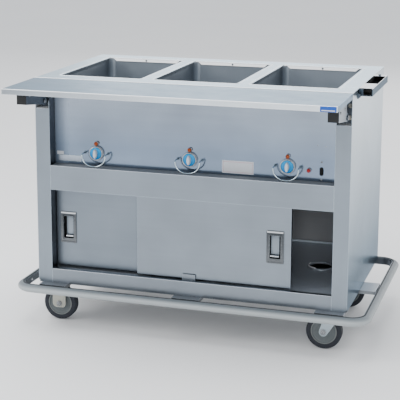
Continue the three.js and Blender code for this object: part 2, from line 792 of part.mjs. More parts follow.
function endHandle() {
  const { reach, front, back, height } = HANDLE;
  const x0 = HALF + GAP;
  const x1 = HALF + reach;
  const low = HEIGHT - height;
  const bolt = rodX(front - 7, low + 1, 4.5, x0 + 1, x0 + SHEET + 3, 6);
  return join(
    box(x1 - SHEET, x1, front, back, low, HEIGHT),
    box(x0, x1, front, back, low, low + SHEET),
    box(x0, x0 + SHEET, front - 16, back, low - 8, low + 10),
    box(x0, x1, front + 13, front + 121, HEIGHT - SHEET, HEIGHT),
    box(x0, x1, back - 34, back, HEIGHT - SHEET, HEIGHT),
    box(x0, x1, back - SHEET, back, low, HEIGHT),
    bolt,
  );
}

// The moulded liner of the handle, open at the top and at the front end.
function endHandleTray() {
  const { reach, front, back, height } = HANDLE;
  const x0 = HALF + SHEET + 2 * GAP;
  const x1 = HALF + reach - SHEET - GAP;
  const low = HEIGHT - height + SHEET + GAP;
  const top = HEIGHT - SHEET - GAP;
  const end = back - SHEET - GAP;
  return cut(box(x0, x1, front + 1, end, low, top), box(x0 + 2, x1 - 2, front, end - 2, low + 2, top + 1));
}

// ---------------------------------------------------------------- assembly

const BRIGHT = 0xc3c9cd;
const DARK = 0x4f5963;
const cart = new THREE.Group();
cart.add(mesh("top_panel", topPanel(), steel(0xb4c1ca)));
wellCentres.forEach((x, i) => {
  cart.add(mesh(`well_liner_${i + 1}`, wellLiner(x), steel(0x7c8791, 0.5)));
  cart.add(mesh(`heating_element_${i + 1}`, heatingElement(x), steel(DARK, 0.6)));
});
cart.add(mesh("side_panel_left", sidePanel(-1), steel(0x9ea5ab)));
cart.add(mesh("side_panel_right", sidePanel(1), steel(0x9ea5ab)));
cart.add(mesh("back_panel", backPanel(), steel(0x9ea5ab)));
cart.add(mesh("control_panel", controlPanel(), steel(0x96a2ae)));
cart.add(mesh("apron_rail", apronRail(), steel()));
cart.add(mesh("bottom_rail", bottomRail(), steel()));
cart.add(mesh("cabinet_floor", cabinetFloor(), steel()));
cart.add(mesh("track_deck", trackDeck(), steel()));
cart.add(mesh("base_frame", baseFrame(), steel(0x858b8f, 0.45)));
cart.add(mesh("bumper_channel", bumperChannel(), steel(0x6c7377, 0.4)));
cart.add(mesh("bumper_strip", bumperStrip(), plastic(0xb2b6b5, 0.6)));
cart.add(mesh("end_handle", endHandle(), steel(BRIGHT)));
cart.add(mesh("end_handle_tray", endHandleTray(), plastic(0x121416)));

knobCentres.forEach((x, i) => {
  cart.add(mesh(`thermostat_${i + 1}`, thermostat(x), plastic(0x2a2d30)));
  cart.add(mesh(`knob_bezel_${i + 1}`, knobBezel(x), steel(BRIGHT, 0.2)));
  cart.add(mesh(`knob_guard_${i + 1}`, knobGuard(x), steel(BRIGHT, 0.15)));
  cart.add(mesh(`amber_lamp_${i + 1}`, lamp(x, LAMP_HEIGHT), plastic(0xc0501e, 0.2)));
  cart.add(mesh(`knob_${i + 1}`, knob(x), plastic(0x2896d2)));
});
cart.add(mesh("red_lamp", lamp(MASTER_LAMP.x, MASTER_LAMP.z), plastic(0xb41e19, 0.2)));
cart.add(powerRocker());

const pullLeft = DOOR_LEFT.x + PULL_INSET.left;
const pullRight = DOOR_RIGHT.x + DOOR_WIDTH - PULL_INSET.right;
cart.add(mesh("door_left", doorPanel(DOOR_LEFT, pullLeft), steel()));
cart.add(mesh("door_right", doorPanel(DOOR_RIGHT, pullRight), steel()));
cart.add(mesh("door_pull_left", doorPull(pullLeft, DOOR_LEFT.y), steel(BRIGHT, 0.2)));
cart.add(mesh("door_pull_right", doorPull(pullRight, DOOR_RIGHT.y), steel(BRIGHT, 0.2)));

cart.add(mesh("shelf_panel", shelfPanel(), steel(0xb4c1ca)));
for (const [word, side] of [["left", -1], ["right", 1]]) {
  cart.add(mesh(`shelf_arm_${word}`, shelfArm(side), steel(DARK)));
  cart.add(mesh(`shelf_bracket_${word}`, shelfBracket(side), steel(DARK)));
}

for (const [word, y] of [["front", CASTER_Y], ["rear", DEPTH - CASTER_Y]]) {
  cart.add(mesh(`rigid_fork_${word}`, rigidFork(RIGID_X, y), steel(0x9c9a8c, 0.4)));
  cart.add(mesh(`swivel_plate_${word}`, swivelPlate(SWIVEL_X, y), steel(0x9fb3bd, 0.4)));
  cart.add(mesh(`swivel_fork_${word}`, swivelFork(SWIVEL_X, y), steel(0x9fb3bd, 0.4)));
  for (const [end, x] of [["rigid", RIGID_X], ["swivel", SWIVEL_X - SWIVEL_TRAIL]]) {
    cart.add(mesh(`${end}_tyre_${word}`, wheelTyre(x, y), plastic(0x252c35, 0.8)));
    cart.add(mesh(`${end}_hub_${word}`, wheelHub(x, y), plastic(0x6d7470, 0.6)));
  }
}

// The unit reaches from the shelf's front edge to the back of the bumper, so it is centred between them.
const bumperReach = BUMPER.gap_y + BUMPER.channel + GAP + BUMPER.strip;
cart.position.y = (SHELF_DEPTH - DEPTH - bumperReach) / 2;

export default cart;
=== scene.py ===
import math
import bpy
import bmesh
from mathutils import Matrix, Vector


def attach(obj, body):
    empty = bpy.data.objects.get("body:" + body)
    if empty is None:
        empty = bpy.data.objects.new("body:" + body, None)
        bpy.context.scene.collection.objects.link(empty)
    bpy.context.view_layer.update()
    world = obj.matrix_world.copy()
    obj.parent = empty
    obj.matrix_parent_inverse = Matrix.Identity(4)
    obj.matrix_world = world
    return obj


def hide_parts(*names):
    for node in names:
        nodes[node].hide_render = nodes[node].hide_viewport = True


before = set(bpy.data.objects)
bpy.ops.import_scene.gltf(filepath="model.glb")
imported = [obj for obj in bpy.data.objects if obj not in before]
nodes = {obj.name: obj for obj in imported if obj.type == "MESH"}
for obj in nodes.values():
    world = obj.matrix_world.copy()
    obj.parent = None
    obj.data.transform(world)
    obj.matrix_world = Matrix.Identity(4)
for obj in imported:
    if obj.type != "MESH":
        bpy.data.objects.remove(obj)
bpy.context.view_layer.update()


# ---------------------------------------- sizes

# In millimetres: x from the cabinet's middle, y back from the corner posts' front face, z up from the floor.
ORIGIN_Y = -226.2  # the posts' front face in the row frame
DEPTH, HEIGHT, HALF = 660, 925, 570  # the cabinet, and half its width
INNER = HALF - 54  # the posts' inner faces
PANEL_FRONT = 48.4
APRON_TOP, RAIL_TOP, FLOOR_TOP = 608, 222.6, 215
WELL_CENTRES = (-352, 0, 352)
WELL_HALF, WELL_FRONT, WELL_BACK, WELL_FLOOR = 156, 81, 585, 749
SHELF_FRONT, HINGE_Y, HINGE_Z = -267, -26, 848
ARM_INNER, ARM_OUTER, BRACKET_FACE = 522, 558, 42.8
KNOB_CENTRES = {"left": -354.5, "middle": -4.5, "right": 345.5}
KNOB_HEIGHT = 655
PULL_HEIGHT = 371
DRAIN_X, DRAIN_Y = 409, 349
BUMPER_MIDDLE = 152
BUMPER_END, BUMPER_SIDE, BUMPER_CORNER, BUMPER_WALL = 57, 33, 44, 4.4
AXLE_HEIGHT = 63.5
PLATE_X, AXLE_X = {"rigid": -524, "swivel": 513}, {"rigid": -524, "swivel": 476}
CASTER_Y = {"front": 97, "rear": 563}


# ---------------------------------------- materials

class Graph:
    """A material's node tree, with short ways to add nodes and links."""

    def __init__(self, name):
        self.material = bpy.data.materials.new(name)
        self.material.use_nodes = True
        self.tree = self.material.node_tree
        self.shader = self.tree.nodes["Principled BSDF"]
        self.place = self.tree.nodes.new("ShaderNodeTexCoord").outputs["Object"]

    def node(self, kind, **values):
        made = self.tree.nodes.new(kind)
        for key, value in values.items():
            setattr(made, key, value)
        return made

    def link(self, source, target):
        self.tree.links.new(source, target)

    def noise(self, scale, stretch=(1, 1, 1), detail=4.0, rough=0.55):
        mapping = self.node("ShaderNodeMapping")
        mapping.inputs["Scale"].default_value = stretch
        self.link(self.place, mapping.inputs["Vector"])
        made = self.node("ShaderNodeTexNoise")
        made.inputs["Scale"].default_value = scale
        made.inputs["Detail"].default_value = detail
        made.inputs["Roughness"].default_value = rough
        self.link(mapping.outputs["Vector"], made.inputs["Vector"])
        return made.outputs["Fac"]

    def spread(self, fac, low, high, out_low=0.0, out_high=1.0):
        made = self.node("ShaderNodeMapRange")
        for key, value in (("From Min", low), ("From Max", high), ("To Min", out_low), ("To Max", out_high)):
            made.inputs[key].default_value = value
        self.link(fac, made.inputs["Value"])
        return made.outputs["Result"]

    def mix(self, fac, a, b, blend="MIX"):
        made = self.node("ShaderNodeMix", data_type="RGBA", blend_type=blend)
        for key, value in ((0, fac), (6, a), (7, b)):
            if isinstance(value, bpy.types.NodeSocket):
                self.link(value, made.inputs[key])
            elif key == 0:
                made.inputs[key].default_value = value
            else:
                made.inputs[key].default_value = (*value, 1)
        return made.outputs[2]

    def math(self, operation, a, b):
        made = self.node("ShaderNodeMath", operation=operation)
        for key, value in ((0, a), (1, b)):
            if isinstance(value, bpy.types.NodeSocket):
                self.link(value, made.inputs[key])
            else:
                made.inputs[key].default_value = value
        return made.outputs[0]

    def bump(self, height, strength, distance):
        made = self.node("ShaderNodeBump")
        made.inputs["Strength"].default_value = strength
        made.inputs["Distance"].default_value = distance
        self.link(height, made.inputs["Height"])
        self.link(made.outputs["Normal"], self.shader.inputs["Normal"])

    def put(self, **values):
        for key, value in values.items():
            socket = self.shader.inputs[key.replace("_", " ")]
            if isinstance(value, bpy.types.NodeSocket):
                self.link(value, socket)
            else:
                socket.default_value = value


def toned(color, factor, lift=0.0):
    """A colour made lighter or darker, up to the brightest that a material can hold."""
    return tuple(min(1.0, c * factor + lift) for c in color)


def edge_wear_and_highlight(g, radius):
    """Zero on flat faces, rising to one along sharp edges: the mask of painted edge highlights and of worn
    edges.
    """
    bevel = g.node("ShaderNodeBevel", samples=4)
    bevel.inputs["Radius"].default_value = radius
    geometry = g.node("ShaderNodeNewGeometry")
    dot = g.node("ShaderNodeVectorMath", operation="DOT_PRODUCT")
    g.link(bevel.outputs["Normal"], dot.inputs[0])
    g.link(geometry.outputs["Normal"], dot.inputs[1])
    return g.spread(dot.outputs["Value"], 0.97, 0.75)


def painted_crevice_shade(g, base, reach):
    """Darkens a colour where another surface stands within reach: painted shade in crevices, seams and
    recesses.
    """
    close = g.node("ShaderNodeAmbientOcclusion", samples=8)
    close.inputs["Distance"].default_value = reach
    shade = g.spread(close.outputs["AO"], 0.3, 0.85, 0.38, 1)
    return g.mix(1.0, base, shade, "MULTIPLY")


def painted_shading_tint(g, base, painted_shading):
    """Multiplies a colour by a tint that changes along one axis: painted light and shade, standing for how
    light falls.

    The painted shading is "Position" (in metres) or "Normal", the axis, the values where the change starts
    and ends, and the tint at each of the two.
    """
    source, axis, low, high, first, last = painted_shading
    split = g.node("ShaderNodeSeparateXYZ")
    g.link(g.node("ShaderNodeNewGeometry").outputs[source], split.inputs[0])
    tint = g.mix(g.spread(split.outputs[axis], low, high), first, last)
    return g.mix(1.0, base, tint, "MULTIPLY")


def brushed(name, color, rough=0.34, along=0, grain=0.05, cloud=0.08, streak=0.10, smudge=0.06, metal=1.0,
            reach=0.022, painted_shading=None, matte=None, painted_graze=None):
    """Stainless sheet with fine straight grain, cloudy patches, handling marks and painted highlights on its
    edges.

    The grain runs along one axis. Surfaces closer than reach, in metres, darken it with painted shade. The
    painted shading tints the colour with painted light and shade, and the graze tint darkens what it reflects
    at a low angle, a painted reflection. matte is where along x the sheet turns from polished to dull.
    """
    g = Graph(name)
    fine = [900.0, 900.0, 900.0]
    fine[along] = 14.0
    coarse = [70.0, 70.0, 70.0]
    coarse[along] = 2.2
    lines = g.noise(1.0, fine, 2.0)
    bands = g.noise(1.0, coarse, 3.0)
    patches = g.noise(3.1, (1, 1, 1), 3.0)
    marks = g.noise(11.0, (1.0, 1.3, 0.8), 5.0, 0.62)
    base = g.mix(g.spread(patches, 0.32, 0.68), toned(color, 1 - cloud * 2), color)
    base = g.mix(g.spread(bands, 0.3, 0.7, 0, streak), base, toned(color, 1.25))
    # Painted light and shade along one axis, where given.
    if painted_shading:
        base = painted_shading_tint(g, base, painted_shading)
    # Painted shade where another surface stands close.
    base = painted_crevice_shade(g, base, reach)
    # A painted highlight along the sharp edges.
    base = g.mix(g.math("MULTIPLY", edge_wear_and_highlight(g, 0.003), 0.9), base, toned(color, 2.2))
    roughness = g.spread(lines, 0.25, 0.75, rough - grain, rough + grain)
    roughness = g.math("ADD", roughness, g.spread(marks, 0.35, 0.75, -smudge / 2, smudge))
    if matte:
        split = g.node("ShaderNodeSeparateXYZ")
        g.link(g.place, split.inputs[0])
        roughness = g.math("ADD", roughness, g.spread(split.outputs["X"], matte[0], matte[1], 0, 0.35))
    # A painted reflection: the low-angle tint changes along one axis.
    if painted_graze:
        g.put(Specular_Tint=painted_shading_tint(g, (1.0, 1.0, 1.0), painted_graze))
    g.put(Metallic=metal, Base_Color=base, Roughness=roughness)
    g.bump(g.math("ADD", lines, g.math("MULTIPLY", bands, 0.6)), 0.09, 0.0004)
    return g.material


def moulded(name, color, rough=0.45, fleck=0.10, grain=0.3, scale=420.0, coat=0.0, worn=None, wear=0.25,
            metal=0.0, shine=0.5, painted_shading=None):
    """A moulded or painted surface: a fine grain, a slow wander of colour, scuffs and lighter worn edges, and
    where given, painted light and shade along one axis.
    """
    g = Graph(name)
    fine = g.noise(scale, (1, 1, 1), 3.0)
    slow = g.noise(9.0, (1, 1, 1), 4.0)
    scuffs = g.noise(60.0, (1, 1, 3.5), 6.0, 0.7)
    base = g.mix(g.spread(slow, 0.3, 0.7), toned(color, 1 - fleck), color)
    base = g.mix(g.spread(scuffs, 0.62, 0.78, 0, 0.18), base, toned(color, 1.3, 0.02))
    # Painted light and shade along one axis, where given.
    if painted_shading:
        base = painted_shading_tint(g, base, painted_shading)
    worn = worn or toned(color, 1.6, 0.04)
    base = g.mix(g.math("MULTIPLY", edge_wear_and_highlight(g, 0.001), wear), base, worn)
    roughness = g.spread(scuffs, 0.3, 0.7, rough - 0.05, rough + 0.08)
    roughness = g.math("ADD", roughness, g.spread(slow, 0.3, 0.7, -0.03, 0.03))
    g.put(Base_Color=base, Roughness=roughness, Metallic=metal, Coat_Weight=coat, Coat_Roughness=0.12,
          Specular_IOR_Level=shine)
    g.bump(fine, grain, 0.0002)
    return g.material


def lens_material(name, color, deep):
    """A translucent lens, darker in its depth, with fine moulded facets."""
    g = Graph(name)
    swirl = g.noise(260.0, (1, 1, 1), 2.0)
    base = g.mix(g.spread(swirl, 0.3, 0.7), deep, color)
    g.put(Base_Color=base, Roughness=g.spread(swirl, 0.3, 0.7, 0.22, 0.34), Subsurface_Weight=0.25,
          Subsurface_Radius=(0.004, 0.0015, 0.0008), Specular_IOR_Level=0.25)
    g.bump(swirl, 0.15, 0.0002)
    return g.material


TOP = brushed("stainless_top", (0.50, 0.64, 0.74), 0.32, cloud=0.03)
# Near white for rim faces that catch the light, a painted highlight, with painted shade in a band along their
# top edge.
LIT_RIM = brushed("stainless_rim_lit", (0.95, 0.95, 0.95), 0.4, cloud=0.01, metal=0.1, reach=0.003,
              painted_shading=("Position", 2, 0.9215, 0.9238, (1, 1, 1), (0.62, 0.64, 0.67)))
# Paler than the top, so the beads paint highlight lines along the edges they follow.
LIT_BEAD = brushed("stainless_bead_lit", (0.86, 0.91, 0.94), 0.3, cloud=0.02, metal=0.6, reach=0.003)
SHELF = brushed("stainless_shelf", (0.172, 0.28, 0.385), 0.34, cloud=0.05)
# The shelf's front faces, a lighter copy of its steel: painted light, shaded darker towards the left end.
LIT_LIP = brushed("stainless_lip_lit", (0.80, 0.87, 0.92), 0.34, cloud=0.04,
              painted_shading=("Position", 0, -0.57, 0.0, (0.46, 0.47, 0.49), (1, 1, 1)))
FRONT = brushed("stainless_front", (0.258, 0.297, 0.338), 0.34, reach=0.016)
# The recessed left door, a darker copy of the front steel: painted shade.
SHADED_REAR_DOOR = brushed("stainless_rear_door_shaded", (0.215, 0.25, 0.29), 0.34, reach=0.02)
# The bottom rail, a darker copy of the front steel: painted shade.
SHADED_RAIL = brushed("stainless_rail_shaded", (0.235, 0.266, 0.30), 0.34)
POST = brushed("stainless_post", (0.252, 0.292, 0.332), 0.34, along=2)
# Lighter and warmer towards the top, bluer lower down: painted reflection.
PANEL_PAINTED_REFLECTION = brushed("stainless_panel_painted_reflection", (0.245, 0.29, 0.355), 0.16, cloud=0.12, grain=0.04, smudge=0.04,
                reach=0.007, matte=(-0.455, -0.485),
                painted_shading=("Position", 2, 0.68, 0.84, (0.86, 0.93, 1), (1.5, 1.46, 1.42)))
# A darker copy of the top's steel for flanges turned from the light: painted shade.
SHADED_FLANGE = brushed("shaded_flange", (0.12, 0.14, 0.165), 0.35, along=1)
# Lighter than the front sheets and darker towards the bottom, its low-angle reflection darker lower down too:
# painted reflection.
SIDE_PAINTED_REFLECTION = brushed("stainless_side_painted_reflection", (0.72, 0.81, 0.87), 0.24, along=2, grain=0.03, smudge=0.03,
               painted_shading=("Position", 2, 0.15, 0.92, (0.55, 0.58, 0.61), (1, 1, 1)),
               painted_graze=("Position", 2, 0.25, 0.92, (0.36, 0.41, 0.46), (1, 1, 1)))
INSIDE = brushed("stainless_inside", (0.50, 0.51, 0.53), 0.38, cloud=0.12, metal=0.4)
# Walls facing +x, the left walls, half as bright: painted shade.
WELL_PAINTED_SHADE = brushed("deep_drawn_stainless_painted_shade", (0.46, 0.515, 0.575), 0.44, along=2, streak=0.05,
               painted_shading=("Normal", 0, -0.6, 0.6, (1, 1, 1), (0.5, 0.5, 0.5)))
FRAME = brushed("mill_steel", (0.25, 0.27, 0.29), 0.42, along=1, cloud=0.15)
# A lighter copy of the frame's steel for its upward faces: painted light.
LIT_FRAME_TOP = brushed("mill_steel_lit_top", (0.36, 0.375, 0.40), 0.36, along=1, cloud=0.1, reach=0.006)
FLOOR = brushed("stainless_floor", (0.42, 0.47, 0.54), 0.32, cloud=0.02, streak=0.03, smudge=0.01, metal=0.5)
CHANNEL = brushed("channel_metal", (0.13, 0.15, 0.175), 0.34, cloud=0.15, reach=0.006)
BRIGHT = brushed("polished_stainless", (0.62, 0.65, 0.68), 0.2, grain=0.03, smudge=0.04)
# Darker towards the pull's top: painted shade.
POLISHED_PAINTED_SHADE = brushed("polished_pull_painted_shade", (0.155, 0.165, 0.175), 0.26, along=2, grain=0.03, smudge=0.05, cloud=0.16,
                   painted_shading=("Position", 2, 0.32, 0.425, (1, 1, 1), (0.50, 0.52, 0.54)))
DULL = brushed("dull_fastener", (0.26, 0.27, 0.28), 0.42, cloud=0.15)
BRASS = brushed("passivated_bolt", (0.34, 0.33, 0.29), 0.36, cloud=0.15)
CHROME = brushed("chromed_wire", (0.56, 0.66, 0.71), 0.12, along=2, grain=0.02, smudge=0.03, cloud=0.04)
# A darker copy of the chrome for the guard's prongs and the faces turned to the panel: painted shade.
SHADED_CHROME = brushed("shaded_wire", (0.085, 0.115, 0.14), 0.25, along=2, grain=0.02, smudge=0.03,
                        cloud=0.04)
COLLAR = brushed("satin_collar", (0.56, 0.57, 0.59), 0.3, cloud=0.06, metal=0.45, reach=0.004)
SILVERED = brushed("blank_plate", (0.40, 0.45, 0.52), 0.3)
ELEMENT = brushed("element_sheath", (0.24, 0.21, 0.19), 0.5, along=1, cloud=0.2)
ZINC = brushed("blue_zinc", (0.38, 0.44, 0.48), 0.36, along=2, cloud=0.14, smudge=0.12)
BEIGE_ZINC = brushed("yellowed_zinc", (0.40, 0.40, 0.35), 0.4, along=2, cloud=0.14, smudge=0.12)
# Near black steel for the end handle's shaded faces and the plate in its mouth: painted shade.
SHADED_HANDLE_STEEL = brushed("shaded_handle_steel", (0.042, 0.058, 0.078), 0.3, along=1, cloud=0.12)
SLATE = moulded("slate_bracket", (0.085, 0.105, 0.13), 0.42, metal=0.6, wear=0.4)
LIT_EDGE = moulded("lit_edge", (0.95, 0.96, 0.98), 0.25, fleck=0.02, grain=0.05, wear=0)
# A matte grey for the apron's upward ledge, standing for its shaded reflection of the panel: painted shade.
SHADED_LEDGE = moulded("shaded_ledge", (0.20, 0.205, 0.215), 0.5, fleck=0.05, grain=0.1, wear=0.1)
# Paler than the front steel, so the hems paint highlight lines along the folds.
LIT_HEM = brushed("hemmed_edge", (0.50, 0.55, 0.60), 0.32, cloud=0.02, metal=0.7, reach=0.003)
# Near black for the shelf arms' front ends: painted shade.
SHADED_ARM_END = moulded("shaded_arm_end", (0.012, 0.013, 0.014), 0.45, wear=0.1, shine=0.3)
# The end handle's outer side, darker than its bright top: painted shade.
SHADED_HANDLE_SIDE = moulded("shaded_handle_side", (0.17, 0.215, 0.26), 0.6, wear=0.2, shine=0.05)
# The left post's inner return, near black: painted shade.
SHADED_RETURN = brushed("shaded_return", (0.045, 0.052, 0.062), 0.3, along=2)
# Lighter towards the top, darker and bluer lower down, upright however the knob turns: painted light.
KNOB_PAINTED_LIGHT = moulded("blue_knob_painted_light", (0.0, 0.34, 0.72), 0.36, fleck=0.14, grain=0.1, wear=0.05, shine=0.25,
               painted_shading=("Position", 2, 0.634, 0.67, (0.45, 0.5, 0.65), (1, 1, 1)))
POINTER = moulded("pale_pointer", (0.56, 0.58, 0.61), 0.32, fleck=0.06, grain=0.08, coat=0.25)
BLACK = moulded("black_plastic", (0.006, 0.007, 0.008), 0.5, wear=0.05, shine=0.15)
LINER = moulded("black_liner", (0.004, 0.005, 0.006), 0.8, wear=0.02, shine=0.08)
CONTROL = moulded("control_housing", (0.03, 0.032, 0.035), 0.5)
# Upward faces darker against the light from above: painted shade.
VINYL_PAINTED_SHADE = moulded("grey_vinyl_painted_shade", (0.35, 0.38, 0.39), 0.42, fleck=0.07, grain=0.12, scale=700.0, shine=0.3,
                painted_shading=("Normal", 2, 0.3, 0.95, (1, 1, 1), (0.42, 0.45, 0.48)))
# Near black strips in the joint above the bumper and in the shelf's seam: painted shade.
SHADE_STRIP = moulded("bumper_groove", (0.035, 0.04, 0.045), 0.6, wear=0.05, shine=0.2)
TYRE = moulded("tyre_rubber", (0.006, 0.009, 0.017), 0.62, fleck=0.25, grain=0.6, scale=800.0,
               worn=(0.07, 0.08, 0.09))
HUB = moulded("grey_hub", (0.098, 0.113, 0.117), 0.46, fleck=0.12, grain=0.35)
HUB_RIM = moulded("hub_rim", (0.17, 0.185, 0.182), 0.42, fleck=0.12, grain=0.2)
BADGE = moulded("blue_badge", (0.010, 0.075, 0.38), 0.4, fleck=0.1, grain=0.1, shine=0.3)
# Pale blue, painting the light line of the bead along the floor's back: painted highlight.
LIT_SEAM = moulded("seam_bead_lit", (0.78, 0.88, 0.98), 0.4, fleck=0.08, grain=0.15)
LABEL = moulded("pale_label", (0.56, 0.58, 0.61), 0.5, fleck=0.04, grain=0.15)
ROSE = moulded("rose_line", (0.50, 0.27, 0.34), 0.5, fleck=0.1, grain=0.1)
AMBER = lens_material("amber_lens", (0.34, 0.062, 0.004), (0.17, 0.025, 0.002))
RED = lens_material("red_lens", (0.38, 0.01, 0.01), (0.18, 0.006, 0.006))


# ---------------------------------------- mesh building

# The quarter turns about x, y and z that point a frame's own z axis each way.
FACINGS = {
    "+x": (0, 1, 0), "-x": (0, -1, 0), "+y": (-1, 0, 0), "-y": (1, 0, 0), "+z": (0, 0, 0), "-z": (2, 0, 0),
}


def at(x, y, z, facing="+z"):
    """A frame at a point, whose own z axis points along facing."""
    a, b, c = (turn * math.pi / 2 for turn in FACINGS[facing])
    turned = Matrix.Rotation(c, 4, "Z") @ Matrix.Rotation(b, 4, "Y") @ Matrix.Rotation(a, 4, "X")
    return Matrix.Translation((x, y, z)) @ turned


def circle(r, z, count):
    """Points evenly round the z axis at height z."""
    turns = [2 * math.pi * k / count for k in range(count)]
    return [(r * math.cos(t), r * math.sin(t), z) for t in turns]


class Part:
    """Collects primitives, in millimetres, into one piece."""

    def __init__(self):
        self.bm = bmesh.new()

    def put(self, verts, faces, place):
        made = [self.bm.verts.new(place @ Vector(v)) for v in verts]
        for face in faces:
            self.bm.faces.new([made[i] for i in face])
        return self

    def lathe(self, profile, place, segments=48):
        """A closed or pole-to-pole profile of (radius, height), turned about the frame's z axis."""
        verts, faces, rings = [], [], []
        for r, z in profile:
            if r < 1e-6:
                rings.append([len(verts)] * segments)
                verts.append((0, 0, z))
            else:
                rings.append([len(verts) + i for i in range(segments)])
                verts += circle(r, z, segments)
        for low, high in zip(rings, rings[1:]):
            for i in range(segments):
                j = (i + 1) % segments
                corners = []
                for v in (low[i], low[j], high[j], high[i]):
                    if v not in corners:
                        corners.append(v)
                if len(corners) > 2:
                    faces.append(corners)
        return self.put(verts, faces, place)

    def loops(self, loops, place=Matrix.Identity(4), cap=(True, True), wrap=False):
        """Skins a row of rings that have the same number of points."""
        n = len(loops[0])
        verts = [p for loop in loops for p in loop]
        rows = list(range(len(loops)))
        pairs = list(zip(rows, rows[1:])) + ([(rows[-1], 0)] if wrap else [])
        faces = [(a * n + i, a * n + (i + 1) % n, b * n + (i + 1) % n, b * n + i)
                 for a, b in pairs for i in range(n)]
        if not wrap and cap[0]:
            faces.append(tuple(reversed(range(n))))
        if not wrap and cap[1]:
            faces.append(tuple(range((len(loops) - 1) * n, len(loops) * n)))
        return self.put(verts, faces, place)

    def slab(self, x0, x1, y0, y1, z0, z1, r=1.0):
        """A block with every edge rounded to r."""
        made = bmesh.ops.create_cube(self.bm, size=1)["verts"]
        middle, size = ((x0 + x1) / 2, (y0 + y1) / 2, (z0 + z1) / 2), (x1 - x0, y1 - y0, z1 - z0)
        for v in made:
            v.co = [m + s * c for m, s, c in zip(middle, size, v.co)]
        if r:
            edges = list(dict.fromkeys(e for v in made for e in v.link_edges))
            bmesh.ops.bevel(self.bm, geom=edges, offset=r, segments=3, profile=0.5, affect="EDGES")
        return self

    def tube(self, points, radius, sides=16, closed=False):
        """A round bar along a line of points, with flat ends unless it is closed."""
        points = [Vector(p) for p in points]
        n = len(points)
        loops, side = [], None
        for i, p in enumerate(points):
            before = points[i - 1] if closed or i else p
            after = points[(i + 1) % n] if closed or i < n - 1 else p
            ahead = (after - before).normalized()
            if side is None:
                side = ahead.orthogonal()
            side = (side - ahead * side.dot(ahead)).normalized()
            up = ahead.cross(side)
            angles = [2 * math.pi * k / sides for k in range(sides)]
            loops.append([p + radius * (math.cos(a) * side + math.sin(a) * up) for a in angles])
        return self.loops(loops, wrap=closed)

    def across(self, reach, y, z, radius):
        """A round bar from side to side."""
        return self.tube([(-reach, y, z), (reach, y, z)], radius, 12)

    def hex_head(self, place, width, height, washer=0.0):
        """A chamfered hex head of a width across flats, with a washer of a radius under it."""
        r = width / math.sqrt(3)
        low = 1.4 if washer else 0.0
        if washer:
            self.lathe([(0, 0), (washer, 0), (washer, 1.0), (washer - 0.5, low), (0, low)], place, 32)
        chamfer = circle(r, low + height * 0.85, 6)
        return self.loops([circle(r, low, 6), chamfer, circle(r * 0.88, low + height, 6)], place)

    def screw(self, place, radius, height):
        """A domed screw head with a cross recess."""
        rings, segments = 9, 32
        verts, faces = [(0, 0, height * 0.45)], []
        for k in range(1, rings + 1):
            r = radius * k / rings
            for i in range(segments):
                a = 2 * math.pi * i / segments
                x, y = r * math.cos(a), r * math.sin(a)
                z = height * math.sqrt(max(0.0, 1 - (r / radius) ** 2 * 0.93))
                arm = min(abs(x), abs(y)) < radius * 0.13 and r < radius * 0.62
                verts.append((x, y, z * 0.5 if arm else z))
        verts += circle(radius, 0, segments)
        for i in range(segments):
            j = (i + 1) % segments
            faces.append((0, 1 + i, 1 + j))
            for k in range(rings):
                a = 1 + k * segments
                faces.append((a + i, a + segments + i, a + segments + j, a + j))
        faces.append(tuple(reversed(range(1 + rings * segments, 1 + (rings + 1) * segments))))
        return self.put(verts, faces, place)

    def make(self, name, material, body, replaces=None, slot=None, angle=38):
        bm = self.bm
        bmesh.ops.recalc_face_normals(bm, faces=bm.faces)
        for v in bm.verts:
            v.co = Vector((v.co.x, v.co.y + ORIGIN_Y, v.co.z)) / 1000
        mesh = bpy.data.meshes.new(name)
        bm.to_mesh(mesh)
        bm.free()
        mesh.materials.append(material)
        mesh.shade_smooth()
        mesh.set_sharp_from_angle(angle=math.radians(angle))
        made = bpy.data.objects.new(name, mesh)
        bpy.context.scene.collection.objects.link(made)
        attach(made, body)
        if replaces:
            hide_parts(replaces)
        return made


def refinish(made, material, test):
    """Gives another finish to the faces whose normal and centre pass a test."""
    made.data.materials.append(material)
    for face in made.data.polygons:
        if test(face.normal, face.center):
            face.material_index = len(made.data.materials) - 1


def rounded_rect(x0, x1, y0, y1, r, z=0.0, steps=6):
    """The points of a rectangle with round corners, anticlockwise, lying at height z."""
    corners = [(x1 - r, y1 - r), (x0 + r, y1 - r), (x0 + r, y0 + r), (x1 - r, y0 + r)]
    points = []
    for quarter, (cx, cy) in enumerate(corners):
        for k in range(steps + 1):
            turn = (quarter + k / steps) * math.pi / 2
            points.append((cx + r * math.cos(turn), cy + r * math.sin(turn), z))
    return points


def upright_rect(x0, x1, z0, z1, r, y, steps=6):
    """The same, standing up at depth y."""
    return [(a, y, b) for a, b, _ in rounded_rect(x0, x1, z0, z1, r, 0, steps)]


def arc(cx, cy, r, start, end, steps):
    """Points of an arc in a plane, angles in degrees."""
    angles = [math.radians(start + (end - start) * k / steps) for k in range(steps + 1)]
    return [(cx + r * math.cos(a), cy + r * math.sin(a)) for a in angles]


# ---------------------------------------- wells

